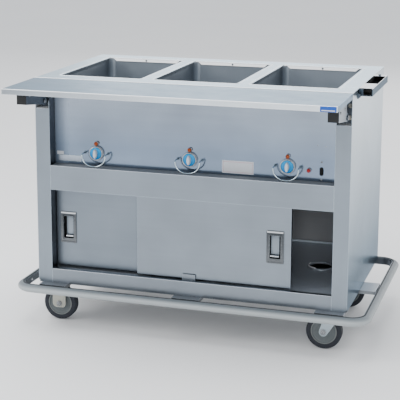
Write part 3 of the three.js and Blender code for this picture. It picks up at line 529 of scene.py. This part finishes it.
def well_shell(number, x):
    """A deep-drawn liner with rounded corners, a coved floor and a rolled rim."""
    corner, cove = 27, 18

    def ring(grow, z, r):
        left, right = x - WELL_HALF - grow, x + WELL_HALF + grow
        return rounded_rect(left, right, WELL_FRONT - grow, WELL_BACK + grow, r, z, 8)

    rings = [ring(-60, WELL_FLOOR, 6), ring(-30, WELL_FLOOR, 10)]
    for k in range(7):
        turn = math.pi / 2 * k / 6
        inset = cove - cove * math.sin(turn)
        rings.append(ring(-inset, WELL_FLOOR + cove - cove * math.cos(turn), corner - inset * 0.6))
    # Each row is how far outside the basin's walls, the height and the corner's radius.
    rim = [(0, 900, corner), (0, 919, corner), (0.6, 922.2, 27.6), (1.4, 922.6, 28), (2, 921.5, 29)]
    outside = [(2, 767, 29), (-4, 750, 24), (-16, 747, 18), (-60, 747, 6)]
    part = Part().loops(rings + [ring(*row) for row in rim + outside])
    part.make(f"well_liner_shell_{number}", WELL_PAINTED_SHADE, "cabinet", f"well_liner_{number}", "well_steel", 50)


def element(number, x):
    """A sheathed hairpin element above the well's floor, on two bars with short legs."""
    reach, bend, entry, far, z = 60, 10, 146, 460, 763
    rise = [(x - reach, entry, 737), (x - reach, entry, z - bend)]
    rise += [(x - reach, entry + bend + a, z - bend + b) for a, b in arc(0, 0, bend, 180, 90, 6)]
    turns = [math.pi * (1 - k / 24) for k in range(25)]
    hairpin = [(x + reach * math.cos(t), far + reach * math.sin(t), z) for t in turns]
    rod = Part().tube(rise + hairpin + [(2 * x - a, b, c) for a, b, c in reversed(rise)], 4, 14)
    washer = [(4.2, 0), (9, 0), (9, 3), (7, 5), (4.2, 5), (4.2, 0)]
    sleeve = [(4.2, 0), (6.2, 0), (6.2, 9), (4.2, 9), (4.2, 0)]
    for side in (-reach, reach):
        rod.lathe(washer, at(x + side, entry, WELL_FLOOR + 0.3), 24)
        rod.lathe(sleeve, at(x + side, entry, 738), 24)
    for y in (230, 380):
        rod.slab(x - 66, x + 66, y - 5, y + 5, 757.4, 759.4, 0.6)
        for side in (-62, 0, 62):
            rod.slab(x + side - 1, x + side + 1, y - 5, y + 5, WELL_FLOOR + 0.2, 758, 0.5)
    rod.make(f"element_{number}", ELEMENT, "cabinet", f"heating_element_{number}", "element_sheath")


def opening_trim(number, x):
    """A bead round the opening, and the screws that hold the liner to the top."""
    reach = WELL_HALF + 3
    outline = rounded_rect(x - reach, x + reach, WELL_FRONT - 3, WELL_BACK + 3, 12, HEIGHT - 0.1)
    # A pale bead round the opening paints its highlight line.
    edge = Part().tube(outline, 1.2, 10, True)
    edge.make(f"opening_bead_{number}", LIT_BEAD, "cabinet", slot="top_steel")
    screws = Part()
    for y, facing in ((577.8, "-y"), (86, "+y")):
        screws.screw(at(x, y, 918.5, facing), 3.7, 1.7)
    for side, facing in ((-151, "+x"), (151, "-x")):
        screws.screw(at(x + side, 333, 917, facing), 3.2, 1.6)
    screws.make(f"well_screws_{number}", SLATE, "cabinet", slot="bracket_steel")


def wells():
    for number, x in enumerate(WELL_CENTRES, 1):
        well_shell(number, x)
        element(number, x)
        opening_trim(number, x)


# ---------------------------------------- controls

def scalloped(radius, depth, z, teeth=24, steps=144):
    """A ring at height z whose radius dips by depth at each of its teeth."""
    angles = [2 * math.pi * k / steps for k in range(steps)]
    reach = [radius - depth * (0.5 + 0.5 * math.cos(teeth * a)) ** 3 for a in angles]
    return [(d * math.cos(a), d * math.sin(a), z) for a, d in zip(angles, reach)]


def leaf_ring(width, length, z):
    """The outline of a leaf-shaped grip: round at its middle and pointed at both ends."""
    angles = [math.pi * (k - 12) / 24 for k in range(25)]
    half = [(width * math.cos(t) * abs(math.cos(t)) ** 0.35, length * math.sin(t)) for t in angles]
    return [(a, b, z) for a, b in half + [(-a, b) for a, b in reversed(half[1:-1])]]


def dial(number, word, x):
    """A scalloped dial with a leaf-shaped grip across it."""
    place = at(x, PANEL_FRONT - 1, KNOB_HEIGHT, "-y")
    # Each ring of the dial is its radius, the scallops' depth and the height.
    rings = [(21.2, 0, 0), (22, 0.9, 0.8), (22, 0.9, 11.2), (21.6, 0.8, 12.4), (20.8, 0.5, 13)]
    rings += [(19.4, 0.1, 13.2), (17, 0, 12.8), (12, 0, 12.4), (3, 0, 12.2)]
    knob = Part().loops([scalloped(*ring) for ring in rings], place)
    knob.lathe([(0, -9), (3, -9), (3, 0.2), (0, 0.2)], place, 20)
    knob.make(f"knob_dial_{number}", KNOB_PAINTED_LIGHT, f"knob_{word}", f"knob_{number}", "knob_blue")
    # Each ring of the grip is half its width, half its length and the height.
    rings = [(7.4, 17.4, 12), (7.0, 17.2, 19), (6.2, 16.6, 24)]
    rings += [(5.2, 15.4, 26.2), (3.2, 12.6, 27.2), (0.5, 5, 27.4)]
    leaf = Part().loops([leaf_ring(*ring) for ring in rings], place)
    leaf.make(f"knob_pointer_{number}", POINTER, f"knob_{word}", slot="bright_steel", angle=50)


def collar(number, x):
    """A bezel ring round the knob, with a dark mark at every 30 degrees of its travel."""
    place = at(x, PANEL_FRONT - 0.7, KNOB_HEIGHT, "-y")
    profile = [(22.9, -0.3), (22.9, 11.4), (23.3, 12.2), (24.1, 12.5), (25.0, 12.1), (25.5, 11.2)]
    profile += [(25.5, 1.2), (26.1, 0.4), (26.1, -0.3), (22.9, -0.3)]
    ring = Part().lathe(profile, place, 72)
    ring.make(f"knob_collar_{number}", COLLAR, "cabinet", f"knob_bezel_{number}", "bright_steel")
    outline = ((23.5, -0.25), (24.7, -0.25), (24.7, 0.25), (23.5, 0.25))
    block = [[(a, b, z) for a, b in outline] for z in (12.58, 11.9)]
    marks = Part()
    for k in range(11):
        marks.loops(block, place @ Matrix.Rotation(math.radians(240 - 30 * k), 4, "Z"))
    marks.make(f"knob_marks_{number}", BLACK, "cabinet", slot="black_plastic")


def guard(number, x):
    """A wire half hoop in front of the knob, with a prong back to the panel at each end."""
    radius, bend, front, back, z = 44, 8, 14, PANEL_FRONT - 0.4, KNOB_HEIGHT
    turns = [math.pi * k / 40 for k in range(1, 20)]
    path = [(x - radius, back - (back - front - bend) * k / 5, z) for k in range(6)]
    path += [(x - radius, front + bend - a, z - bend + b) for a, b in arc(0, 0, bend, 90, 0, 8)[1:]]
    path += [(x - radius * math.cos(t), front, z - bend - (radius - bend) * math.sin(t)) for t in turns]
    path += [(2 * x - a, b, c) for a, b, c in reversed(path)]
    wire = Part().tube(path, 2.25, 14)
    foot = [(2.4, 0), (5.2, 0), (5.2, 0.8), (4.6, 1.3), (2.4, 1.3), (2.4, 0)]
    for side in (-radius, radius):
        wire.lathe(foot, at(x + side, PANEL_FRONT - 0.2, z, "-y"), 28)
    made = wire.make(f"guard_wire_{number}", CHROME, "cabinet", f"knob_guard_{number}", "guard_chrome")
    prongs = ORIGIN_Y + front + bend
    # The prongs and the faces turned to the panel take the darker chrome: painted shade.
    refinish(made, SHADED_CHROME, lambda n, c: n.y > 0.25 or c.y * 1000 > prongs)


def lamp(word, x, z, look, node, slot):
    """A stepped lens on a turned base."""
    place = at(x, PANEL_FRONT, z, "-y")
    profile = [(0, 4.2), (6.4, 4.2), (6.8, 4.9), (6.8, 10.4), (6.5, 11.5), (5.6, 12.2), (3.7, 12.5)]
    lens = Part().lathe(profile + [(1.9, 12.65), (0, 12.7)], place, 40)
    lens.make(f"{word}_lens", look, "cabinet", node, slot)
    profile = [(0, -15), (4, -15), (4, 0.2), (7.4, 0.2), (7.4, 1.6), (6.6, 2.4), (5.8, 2.6), (5.8, 4.3)]
    base = Part().lathe(profile + [(5.0, 4.5), (0, 4.5)], place, 40)
    base.make(f"{word}_lamp_base", DULL, "cabinet", slot="frame_steel")


def thermostat(number, x):
    """The control body behind the panel, with its bush and terminals."""
    z, half, back = KNOB_HEIGHT, 19, 79
    box = Part().slab(x - half, x + half, 54, back, z - half, z + half, 2)
    box.lathe([(4.2, 0), (8, 0), (8, 4), (4.2, 4), (4.2, 0)], at(x, PANEL_FRONT + 2.5, z, "+y"), 32)
    for dx in (-10, 10):
        for dz in (-10, 10):
            box.slab(x + dx - 3, x + dx + 3, back, back + 7, z + dz - 0.5, z + dz + 0.5, 0.2)
    box.make(f"thermostat_body_{number}", CONTROL, "cabinet", f"thermostat_{number}", "control_body")


def knobs():
    for number, (word, x) in enumerate(KNOB_CENTRES.items(), 1):
        dial(number, word, x)
        collar(number, x)
        guard(number, x)
        lamp(f"amber_{number}", x, 690, AMBER, f"amber_lamp_{number}", "lamp_amber")
        thermostat(number, x)
    lamp("red", 419, 646, RED, "red_lamp", "lamp_red")


def switch():
    """The rocker in its rim, its two screws, and two rivets in the panel above."""
    x, z = 462, 644
    width, height, corner = 5, 13, 4.9
    turn = Matrix.Translation((x, 49.4, z)) @ Matrix.Rotation(math.radians(-6), 4, "X")

    def outline(grow, y, cx=0, cz=0):
        wide, high = width + grow, height + grow
        return upright_rect(cx - wide, cx + wide, cz - high, cz + high, corner + grow, y)

    rocker = Part().loops([outline(0, 5), outline(0, -3.6), outline(-0.5, -4.7), outline(-1.3, -5)], turn)
    for k in range(-2, 3):
        front, middle = 43.9 + k * 0.22, z + k * 2.2
        rocker.slab(x - 2.6, x + 2.6, front, front + 1.3, middle - 0.5, middle + 0.5, 0.3)
    rocker.make("rocker", BLACK, "power_switch", "power_rocker", "black_plastic")
    rows = ((0.7, 48.2), (0.7, 47.2), (1.2, 46.9), (1.9, 47.4), (2.1, 48.2))
    rim = Part().loops([outline(grow, y, x, z) for grow, y in rows], wrap=True)
    rim.make("rocker_rim", BLACK, "cabinet", slot="black_plastic")
    screws = Part()
    for screw_z in (677, 615):
        screws.screw(at(x, PANEL_FRONT - 0.1, screw_z, "-y"), 3.6, 2.0)
    screws.make("switch_screws", DULL, "cabinet", slot="frame_steel")
    rivets = Part()
    for rivet_x, rivet_z in ((447, 733), (475, 731)):
        place = at(rivet_x, PANEL_FRONT - 0.05, rivet_z, "-y")
        rivets.lathe([(0, 0.6), (1.2, 0.5), (1.8, 0.0), (0, 0.0)], place, 20)
    rivets.make("panel_rivets", DULL, "cabinet", slot="frame_steel")


# ---------------------------------------- doors and bumper

def pull(word, x, face, side, slot):
    """A flush pull: a dished flange, a pocket whose back plate stops short of a finger slot on its outer
    side, with a black slab of painted shade deep in the slot, and a bar across the pocket's lower end."""
    z, body = PULL_HEIGHT, f"{word}_door"

    def rect(half_width, half_height, r, depth):
        return upright_rect(x - half_width, x + half_width, z - half_height, z + half_height, r, face + depth)

    dish = [(31, 58.5, 4, 0), (31, 58.5, 4, -1.2), (30.4, 57.9, 3.8, -2.2), (29.2, 56.7, 3.4, -2.4)]
    dish += [(26.5, 54, 3, -1.2), (23, 48, 4, -0.9), (21.6, 44.5, 4.5, -1.1), (20.4, 42.8, 4.2, -1.9)]
    dish += [(19.4, 41.6, 4, -1.5), (19, 40.8, 4, 0.4), (18.8, 40.2, 4, 9), (18.2, 39.4, 4, 12)]
    dish.append((10, 24, 6, 12.2))
    backing = [(31, 58.5, 4, 0), (23, 42, 4, 0), (23, 42, 4, 12), (21, 40, 4, 13.4)]
    cup = Part()
    for rows in (dish, backing):
        cup.loops([rect(*row) for row in rows], cap=(False, True))
    cup.make(f"pull_{word}", POLISHED_PAINTED_SHADE, body, f"door_pull_{word}", "bright_steel", 45)
    inner, outer = sorted((x - side * 17.4, x + side * (18.4 - slot)))
    plate = Part().slab(inner, outer, face + 7.4, face + 9.4, z - 38, z + 38.6, 0.8)
    plate.make(f"pull_plate_{word}", FRONT, body, slot="body_steel")
    bar = Part().tube([(inner, face + 2.6, z - 33.5), (outer, face + 2.6, z - 33.5)], 4, 24)
    strip = [(-0.9, 58.2), (-2.2, 57.6), (-3.4, 52.2), (-3.2, 51.4), (-0.9, 51.2)]
    bar.loops([[(end, face + depth, z + height) for depth, height in strip] for end in (x - 28.5, x + 28.5)])
    bar.make(f"pull_bar_{word}", BRIGHT, body, slot="bright_steel")
    near, far = sorted((x + side * (18.6 - slot), x + side * 18.4))
    # A black slab deep in the finger slot: painted shade.
    slot_shade = Part().slab(near, far, face + 11.2, face + 11.9, z - 38, z + 38.6, 0.3)
    slot_shade.make(f"pull_slot_shade_{word}", BLACK, body, slot="black_plastic")


def pulls():
    pull("left", -468, 46.6, -1, 8)
    pull("right", 311, 24.6, 1, 5.5)


def bumper():
    """The vinyl strip: a half-round with a flat seat and a bead along each side, butt-joined at the back."""
    middle, seat, nose, half = BUMPER_MIDDLE, 5, 17, 13.8
    back = DEPTH + BUMPER_SIDE + BUMPER_WALL

    def ring(reach, z):
        grow, r = BUMPER_END + BUMPER_WALL + reach, BUMPER_CORNER + BUMPER_WALL + reach
        front = -BUMPER_SIDE - BUMPER_WALL - reach
        return rounded_rect(-HALF - grow, HALF + grow, front, back + reach, r, z, 20)

    turns = [math.radians(-82 + 164 * k / 18) for k in range(19)]
    section = [(0, 137.4), (1.6, 137.0), (4.2, 137.6), (seat, 138.4)]
    section += [(seat + nose * math.cos(t), middle + half * math.sin(t)) for t in turns]
    section += [(seat, 165.6), (4.2, 166.4), (1.6, 167.0), (0, 166.6)]
    strip = Part().loops([ring(*row) for row in section], wrap=True)
    strip.make("bumper_vinyl", VINYL_PAINTED_SHADE, "cabinet", "bumper_strip", "bumper_vinyl", 60)
    # A dark strip along the joint between the vinyl and its channel: painted shade.
    rows = ((-0.6, 167.2), (3.6, 166.9), (3.4, 168.3), (-0.6, 168.5))
    seam = Part().loops([ring(*row) for row in rows], wrap=True)
    seam.make("bumper_groove", SHADE_STRIP, "cabinet", slot="black_plastic")
    cover = [(reach + 0.35, z + (0.3 if z > middle else -0.3)) for reach, z in section]
    joint = Part().loops([[(end, back + reach, z) for reach, z in cover] for end in (-7, 7)])
    joint.make("bumper_joint_clip", DULL, "cabinet", slot="frame_steel")
    side_face, end_face = BUMPER_SIDE - 0.2, HALF + BUMPER_END - 0.2
    screws = Part()
    for x in (-450, -150, 150, 450):
        screws.screw(at(x, -side_face, middle, "+y"), 4.2, 2.2)
        screws.screw(at(x, DEPTH + side_face, middle, "-y"), 4.2, 2.2)
    for y in (60, 600):
        screws.screw(at(end_face, y, middle, "-x"), 4.2, 2.2)
        screws.screw(at(-end_face, y, middle, "+x"), 4.2, 2.2)
    screws.make("bumper_screws", BRIGHT, "cabinet", slot="bright_steel")


# ---------------------------------------- casters

def mirrored(half):
    """A wheel's closed profile from the half on one side of its middle plane."""
    return half + [(r, -t) for r, t in reversed(half)] + [half[0]]


def wheel(end, word, x, y):
    """A tyre with a shallow groove round its tread, and a dished hub with five bosses on each side."""
    body = f"{end}_wheel_{word}"
    place = at(x, y, AXLE_HEIGHT, "+y")
    shoulder = [math.radians(-80 + 16 * k) for k in range(5)]
    half = [(46.5, -14.5), (50, -15.6), (56, -16), (59.4, -15.2)]
    half += [(59.5 + 4 * math.cos(t), -11.4 + 4 * math.sin(t)) for t in shoulder]
    half += [(63.5, -8), (63.5, -2.0), (62.7, -1.4)]
    tyre = Part().lathe(mirrored(half), place, 96)
    tyre.make(f"{end}_tyre_round_{word}", TYRE, body, f"{end}_tyre_{word}", "tyre_rubber")
    half = [(46.1, 14.2), (44.8, 15.2), (43.0, 15.2), (41.6, 12.4), (38.5, 10.6), (34, 10.2), (31.2, 11.4)]
    half += [(29.8, 11.4), (28, 10.2), (22, 10.8), (19, 12.6), (17.6, 15.4), (16.4, 18.2), (14.6, 19)]
    half.append((6.4, 19))
    hub = Part().lathe(mirrored(half), place, 72)
    for k in range(5):
        turn = 2 * math.pi * k / 5 + 0.3
        for depth, facing in ((10.4, "+y"), (-10.4, "-y")):
            centre = place @ Vector((36.2 * math.cos(turn), 36.2 * math.sin(turn), depth))
            hub.lathe([(0, -0.8), (2.6, -0.8), (2.6, 0.9), (2.0, 1.4), (0, 1.4)], at(*centre, facing), 20)
    made = hub.make(f"{end}_hub_ribbed_{word}", HUB, body, f"{end}_hub_{word}", "hub_plastic", 30)
    refinish(made, HUB_RIM, lambda n, c: 42.3 < math.hypot(c.x * 1000 - x, c.z * 1000 - AXLE_HEIGHT) < 46)


def plate_bolts(end, word, x, y):
    bolts = Part()
    for dx in (-38, 38):
        for dy in (-33, 33):
            bolts.hex_head(at(x + dx, y + dy, 152.8, "-z"), 12, 5, 8)
            tail = at(x + dx, y + dy, 146.4, "-z")
            bolts.lathe([(0, 0), (3.6, 0), (3.6, 3.4), (3.0, 4), (0, 4)], tail, 20)
    bolts.make(f"{end}_plate_bolts_{word}", DULL, "cabinet", slot="frame_steel")


def axle_nuts(end, word, x, y):
    axle = Part()
    for facing, side in (("-y", -1), ("+y", 1)):
        spot = at(x, y + side * 23.9, AXLE_HEIGHT, facing)
        axle.hex_head(spot, 17, 4.4, 10.5)
        axle.lathe([(0, 5.0), (4.6, 5.0), (4.6, 7.6), (4.0, 8.2), (0, 8.2)], spot, 24)
    body = "cabinet" if end == "rigid" else f"swivel_{word}"
    axle.make(f"{end}_axle_nuts_{word}", DULL, body, slot="bright_steel")


def swivel_trim(word, x, y):
    """The kingpin's nut, and the pressed cover of the ball race, which turns with the fork."""
    pin = Part().hex_head(at(x, y, 131, "-z"), 18, 6)
    pin.make(f"kingpin_nut_{word}", DULL, "cabinet", slot="frame_steel")
    profile = [(27, 145.3), (31.5, 145.0), (33.4, 143.2), (33.6, 140.4), (31.2, 139.2), (30.2, 141.8)]
    race = Part().lathe(profile + [(27, 142.2), (27, 145.3)], at(x, y, 0), 64)
    race.make(f"race_cover_{word}", ZINC, f"swivel_{word}", slot="caster_zinc")


def casters():
    for end, x in AXLE_X.items():
        for word, y in CASTER_Y.items():
            wheel(end, word, x, y)
    for end, x in PLATE_X.items():
        for word, y in CASTER_Y.items():
            plate_bolts(end, word, x, y)
            axle_nuts(end, word, AXLE_X[end], y)
            if end == "swivel":
                swivel_trim(word, x, y)


# ---------------------------------------- small fittings

def brackets():
    """The bolts of each shelf bracket, the rivets of each arm and the heads of each hinge pin."""
    for word, side in (("left", -1), ("right", 1)):
        outward, inward = ("+x", "-x") if side > 0 else ("-x", "+x")
        fixed = Part()
        for z in (876, 836):
            for x in (525, 555):
                fixed.hex_head(at(side * x, BRACKET_FACE, z, "-y"), 11, 5, 8)
        fixed.make(f"bracket_bolts_{word}", BRASS, "cabinet", slot="frame_steel")
        arm = Part()
        for x, facing in ((side * (ARM_OUTER + 0.1), outward), (side * (ARM_INNER - 0.1), inward)):
            for y in (-150, -70):
                arm.lathe([(0, 0), (5, 0), (4.6, 1.6), (3, 2.6), (0, 2.9)], at(x, y, 884, facing), 24)
        arm.make(f"arm_rivets_{word}", DULL, "shelf", slot="frame_steel")
        pin = Part()
        head = [(0, 0), (8, 0), (8, 0.8), (6.6, 2.0), (3, 2.6), (0, 2.7)]
        for x, facing in ((side * (ARM_OUTER + 3.6), outward), (side * (ARM_INNER - 3.6), inward)):
            pin.lathe(head, at(x, HINGE_Y, HINGE_Z, facing), 28)
        pin.make(f"pin_heads_{word}", DULL, "cabinet", slot="frame_steel")


def handle():
    """The end handle's bolts, and a near-black plate inside its open front end, painted shade in the mouth.
    """
    outside = HALF + 2.6
    screws = Part()
    screws.hex_head(at(outside, 100, 901, "+x"), 10, 4, 6.5)
    for y in (250, 400):
        screws.screw(at(outside, y, 893.5, "+x"), 3.4, 1.8)
    screws.hex_head(at(590, 432, HEIGHT + 0.2), 9, 3.4)
    screws.make("handle_bolts", SLATE, "cabinet", slot="bracket_steel")
    mouth = Part().slab(571.6, 586, 105.2, 106.5, 901.4, 923.4, 0.3)
    mouth.make("handle_mouth_shade_plate", SHADED_HANDLE_STEEL, "cabinet", slot="bracket_steel")


def plates():
    """Blank plates: nothing is written on any of them."""
    def plate(name, x0, x1, z0, z1, y, material, body, slot, r=1.5, thick=0.8):
        def outline(grow, depth):
            return upright_rect(x0 - grow, x1 + grow, z0 - grow, z1 + grow, r + grow, depth, 5)
        part = Part().loops([outline(0, y), outline(0, y - thick * 0.6), outline(-thick * 0.4, y - thick)])
        part.make(name, material, body, slot=slot)

    panel = PANEL_FRONT - 0.1
    plate("shelf_badge", 515, 567, 906.6, 924.6, SHELF_FRONT - 0.1, BADGE, "shelf", "knob_blue")
    plate("shelf_badge_band", 519.5, 562.5, 909.6, 912.6, SHELF_FRONT - 0.9, LABEL, "shelf", "bumper_vinyl",
          1.0, 0.3)
    plate("panel_plate", -503, -416, 619, 640, panel, SILVERED, "cabinet", "bright_steel")
    plate("panel_plate_small", -509, -483, 641.5, 653.5, panel, LABEL, "cabinet", "bumper_vinyl", 1.0, 0.5)
    plate("panel_label", 112, 225, 616, 661, panel, LABEL, "cabinet", "bumper_vinyl", 2.0, 0.5)
    x0, x1, z0, z1 = 116, 221, 620, 657
    rows = [(x0, x1, z1 - 1.4, z1), (x0, x1, z0, z0 + 1.2), (x0, x0 + 1.2, z0, z1), (x1 - 1.2, x1, z0, z1)]
    line = Part()
    for left, right, low, high in rows:
        line.slab(left, right, PANEL_FRONT - 0.85, PANEL_FRONT - 0.5, low, high, 0.1)
    line.make("panel_label_border", ROSE, "cabinet", slot="lamp_red")


def back_details():
    """The inlet gland with its ridged nut, and the back panel's screws."""
    place = at(430, 671.4, 600, "+y")
    profile = [(6.2, -2), (13.5, -2), (13.5, 1.0), (12.5, 5.5), (11.2, 9.5), (9.4, 11.6), (6.2, 12.2)]
    gland = Part().lathe(profile + [profile[0]], place, 48)
    for k in range(14):
        turn = 2 * math.pi * k / 14
        rise = ((13.2, 0.5), (12.2, 5.5), (11, 9))
        gland.tube([place @ Vector((r * math.cos(turn), r * math.sin(turn), z)) for r, z in rise], 0.8, 8)
    gland.make("cable_gland", BLACK, "cabinet", slot="black_plastic")
    screws = Part()
    for x in (-540, -270, 0, 270, 540):
        for z in (900, 560, 200):
            screws.screw(at(x, DEPTH - 2.3, z, "+y"), 4.0, 2.0)
    screws.make("back_screws", DULL, "cabinet", slot="frame_steel")


# ---------------------------------------- CAD nodes

def rounded(node, width):
    """Rounds a CAD node's sharp edges, as folded and cut sheet has them."""
    weld = node.modifiers.new("weld", "WELD")
    weld.merge_threshold = 0.00002
    bevel = node.modifiers.new("edges", "BEVEL")
    bevel.width, bevel.segments = width / 1000, 2
    bevel.limit_method, bevel.angle_limit = "ANGLE", math.radians(38)
    bevel.harden_normals = True
    node.data.shade_smooth()
    normals = node.modifiers.new("normals", "WEIGHTED_NORMAL")
    normals.keep_sharp = True


# Each CAD node's finish, and how far its edges are rounded.
NODE_LOOKS = {
    "top_panel": (TOP, 0.7), "shelf_panel": (SHELF, 0.9), "side_panel_left": (SIDE_PAINTED_REFLECTION, 0.6),
    "side_panel_right": (SIDE_PAINTED_REFLECTION, 0.6), "back_panel": (FRONT, 0.4), "control_panel": (PANEL_PAINTED_REFLECTION, 0.3),
    "apron_rail": (FRONT, 1.1), "bottom_rail": (SHADED_RAIL, 1.0), "cabinet_floor": (FLOOR, 0.5),
    "track_deck": (INSIDE, 0.5), "door_left": (SHADED_REAR_DOOR, 1.2), "door_right": (FRONT, 1.2),
    "base_frame": (FRAME, 0.9), "bumper_channel": (CHANNEL, 0.5), "end_handle": (BRIGHT, 0.6),
    "end_handle_tray": (LINER, 0.6), "shelf_arm_left": (SLATE, 0.6), "shelf_arm_right": (SLATE, 0.6),
    "shelf_bracket_left": (SLATE, 0.6), "shelf_bracket_right": (SLATE, 0.6),
    "rigid_fork_front": (BEIGE_ZINC, 0.7), "rigid_fork_rear": (BEIGE_ZINC, 0.7),
    "swivel_fork_front": (ZINC, 0.7), "swivel_fork_rear": (ZINC, 0.7),
    "swivel_plate_front": (ZINC, 0.7), "swivel_plate_rear": (ZINC, 0.7),
}


# Faces that take another finish, most of them lighter or darker copies that paint light and shade:
# the node, the finish, and a test on a face's normal and centre, in metres.
FACE_LOOKS = [
    # The end handle's front, inner and outer faces take darker copies of its steel: painted shade.
    ("end_handle", SHADED_HANDLE_STEEL, lambda n, c: n.x < -0.7 or n.y < -0.7),
    ("end_handle", SHADED_HANDLE_SIDE, lambda n, c: n.x > 0.7),
    # The right arm's outer cheek, which catches the light, takes the lighter front steel: painted light.
    ("shelf_arm_right", FRONT, lambda n, c: n.x > 0.7 and c.x > 0.55),
    ("back_panel", INSIDE, lambda n, c: n.y < -0.7),
    # The wells' back rims: painted highlight.
    ("top_panel", LIT_RIM, lambda n, c: n.y < -0.7 and c.y > 0.2),
    # The apron's upward ledge: painted shade.
    ("apron_rail", SHADED_LEDGE, lambda n, c: n.z > 0.7 and c.z > 0.6),
    # Flanges in the openings that face +x: painted shade.
    ("top_panel", SHADED_FLANGE, lambda n, c: n.x > 0.7 and abs(c.x) < 0.545 and c.z > 0.88),
    # The frame's upward faces: painted light.
    ("base_frame", LIT_FRAME_TOP, lambda n, c: n.z > 0.7),
    # The left post's inner return: painted shade.
    ("side_panel_left", SHADED_RETURN, lambda n, c: n.x > 0.7 and c.y < -0.15 and c.x > -0.56),
    # Upward faces on the side panels: painted highlight.
    ("side_panel_left", LIT_RIM, lambda n, c: n.z > 0.7 and 0.79 < c.z < 0.84),
    ("side_panel_right", LIT_RIM, lambda n, c: n.z > 0.7 and 0.79 < c.z < 0.84),
    # The arms' front ends: painted shade.
    ("shelf_arm_left", SHADED_ARM_END, lambda n, c: n.y < -0.7),
    ("shelf_arm_right", SHADED_ARM_END, lambda n, c: n.y < -0.7),
    ("side_panel_left", POST, lambda n, c: n.y < -0.7),
    ("side_panel_right", POST, lambda n, c: n.y < -0.7),
    # The shelf's front faces: painted light.
    ("shelf_panel", LIT_LIP, lambda n, c: n.y < -0.7),
    ("side_panel_left", INSIDE, lambda n, c: n.x > 0.7 and c.x < -0.56),
    ("side_panel_right", INSIDE, lambda n, c: n.x < -0.7 and c.x > 0.56),
]


def dress_nodes():
    for name, (material, width) in NODE_LOOKS.items():
        node = nodes[name]
        node.data.materials.clear()
        node.data.materials.append(material)
        rounded(node, width)
    for name, material, test in FACE_LOOKS:
        refinish(nodes[name], material, test)


def trim():
    """Beads along the folded edges and the floor's back, pale to paint highlight lines; a dark strip of
    painted shade in the shelf's seam; and a painted highlight on the drain's rim.
    """
    front = Part().across(HALF - 0.6, 1.5, HEIGHT + 0.2, 1.7)
    front.make("top_front_bead", LIT_BEAD, "cabinet", slot="top_steel")
    lip = Part().across(HALF - 0.5, SHELF_FRONT + 1.1, HEIGHT - 1.1, 1.5)
    lip.make("shelf_front_bead", LIT_BEAD, "shelf", slot="top_steel")
    hems = Part()
    for fold in (APRON_TOP, RAIL_TOP):
        hems.across(INNER - 1.5, 1.3, fold - 1, 1.4)
    hems.make("hemmed_edges", LIT_HEM, "cabinet", slot="body_steel")
    bead = Part().slab(10 - HALF, HALF - 10, DEPTH - 13, DEPTH - 5.6, FLOOR_TOP - 0.1, FLOOR_TOP + 8, 2.4)
    bead.make("floor_bead", LIT_SEAM, "cabinet", slot="body_steel")
    # A dark strip in the gap behind the shelf: painted shade.
    gap = Part().slab(0.5 - HALF, HALF - 0.5, -2.6, -0.9, 921.8, 923.6, 0.3)
    gap.make("shelf_seam_shadow", SHADE_STRIP, "cabinet", slot="top_steel")
    # A white crescent on the drain's rim: a painted highlight.
    rim = arc(DRAIN_X, DRAIN_Y, 45, 160, 256, 12)
    glint = Part().tube([(a, b, FLOOR_TOP + 5.4) for a, b in rim], 2.2, 10)
    glint.make("drain_rim_highlight", LIT_EDGE, "cabinet", slot="bright_steel")


# ---------------------------------------- stage

def pale_floor():
    floor = bpy.data.meshes.new("floor")
    s, z = 14.0, -0.001
    floor.from_pydata([(-s, -s, z), (s, -s, z), (s, s, z), (-s, s, z)], [], [(0, 1, 2, 3)])
    made = bpy.data.objects.new("floor", floor)
    bpy.context.scene.collection.objects.link(made)
    g = Graph("pale_floor")
    tint = g.mix(g.spread(g.noise(0.8), 0.3, 0.7), (0.86, 0.86, 0.865), (0.88, 0.88, 0.88))
    g.put(Base_Color=tint, Roughness=0.85)
    floor.materials.append(g.material)


def studio():
    world = bpy.data.worlds.new("studio")
    world.use_nodes = True
    world.node_tree.nodes["Background"].inputs["Color"].default_value = (0.93, 0.96, 1.0, 1)
    world.node_tree.nodes["Background"].inputs["Strength"].default_value = 1.15
    bpy.context.scene.world = world

    def area(name, place, target, size, power):
        data = bpy.data.lights.new(name, "AREA")
        data.shape = "RECTANGLE"
        data.size, data.size_y = size
        data.energy = power
        lamp = bpy.data.objects.new(name, data)
        lamp.location = place
        lamp.rotation_euler = (Vector(target) - Vector(place)).to_track_quat("-Z", "Y").to_euler()
        bpy.context.scene.collection.objects.link(lamp)

    area("overhead", (-0.5, -0.6, 4.2), (0, 0, 0.5), (4.0, 3.0), 160)
    area("front_left", (-3.5, -2.9, 3.3), (0, 0, 0.6), (2.5, 2.5), 120)
    area("behind", (0.3, 6.2, 3.0), (0, 0, 0.9), (7.0, 2.4), 100)
    area("front_fill", (1.4, -4.6, 1.8), (0.3, 0, 0.4), (1.2, 1.2), 45)
    area("right_back", (3.4, 6.0, 2.2), (0.57, 0.2, 0.7), (3.0, 2.4), 60)


def camera():
    data = bpy.data.cameras.new("camera")
    data.sensor_width = 36
    data.lens = 111.6
    data.shift_x, data.shift_y = 0.0563, -0.15
    data.clip_end = 100
    made = bpy.data.objects.new("camera", data)
    made.location = (1.26336, -4.22216, 1.5828)
    made.rotation_euler = (math.radians(90 - 11.4547), 0, math.radians(18.0033))
    bpy.context.scene.collection.objects.link(made)
    bpy.context.scene.camera = made


dress_nodes()
trim()
wells()
knobs()
switch()
pulls()
bumper()
casters()
brackets()
handle()
plates()
back_details()
pale_floor()
studio()
camera()
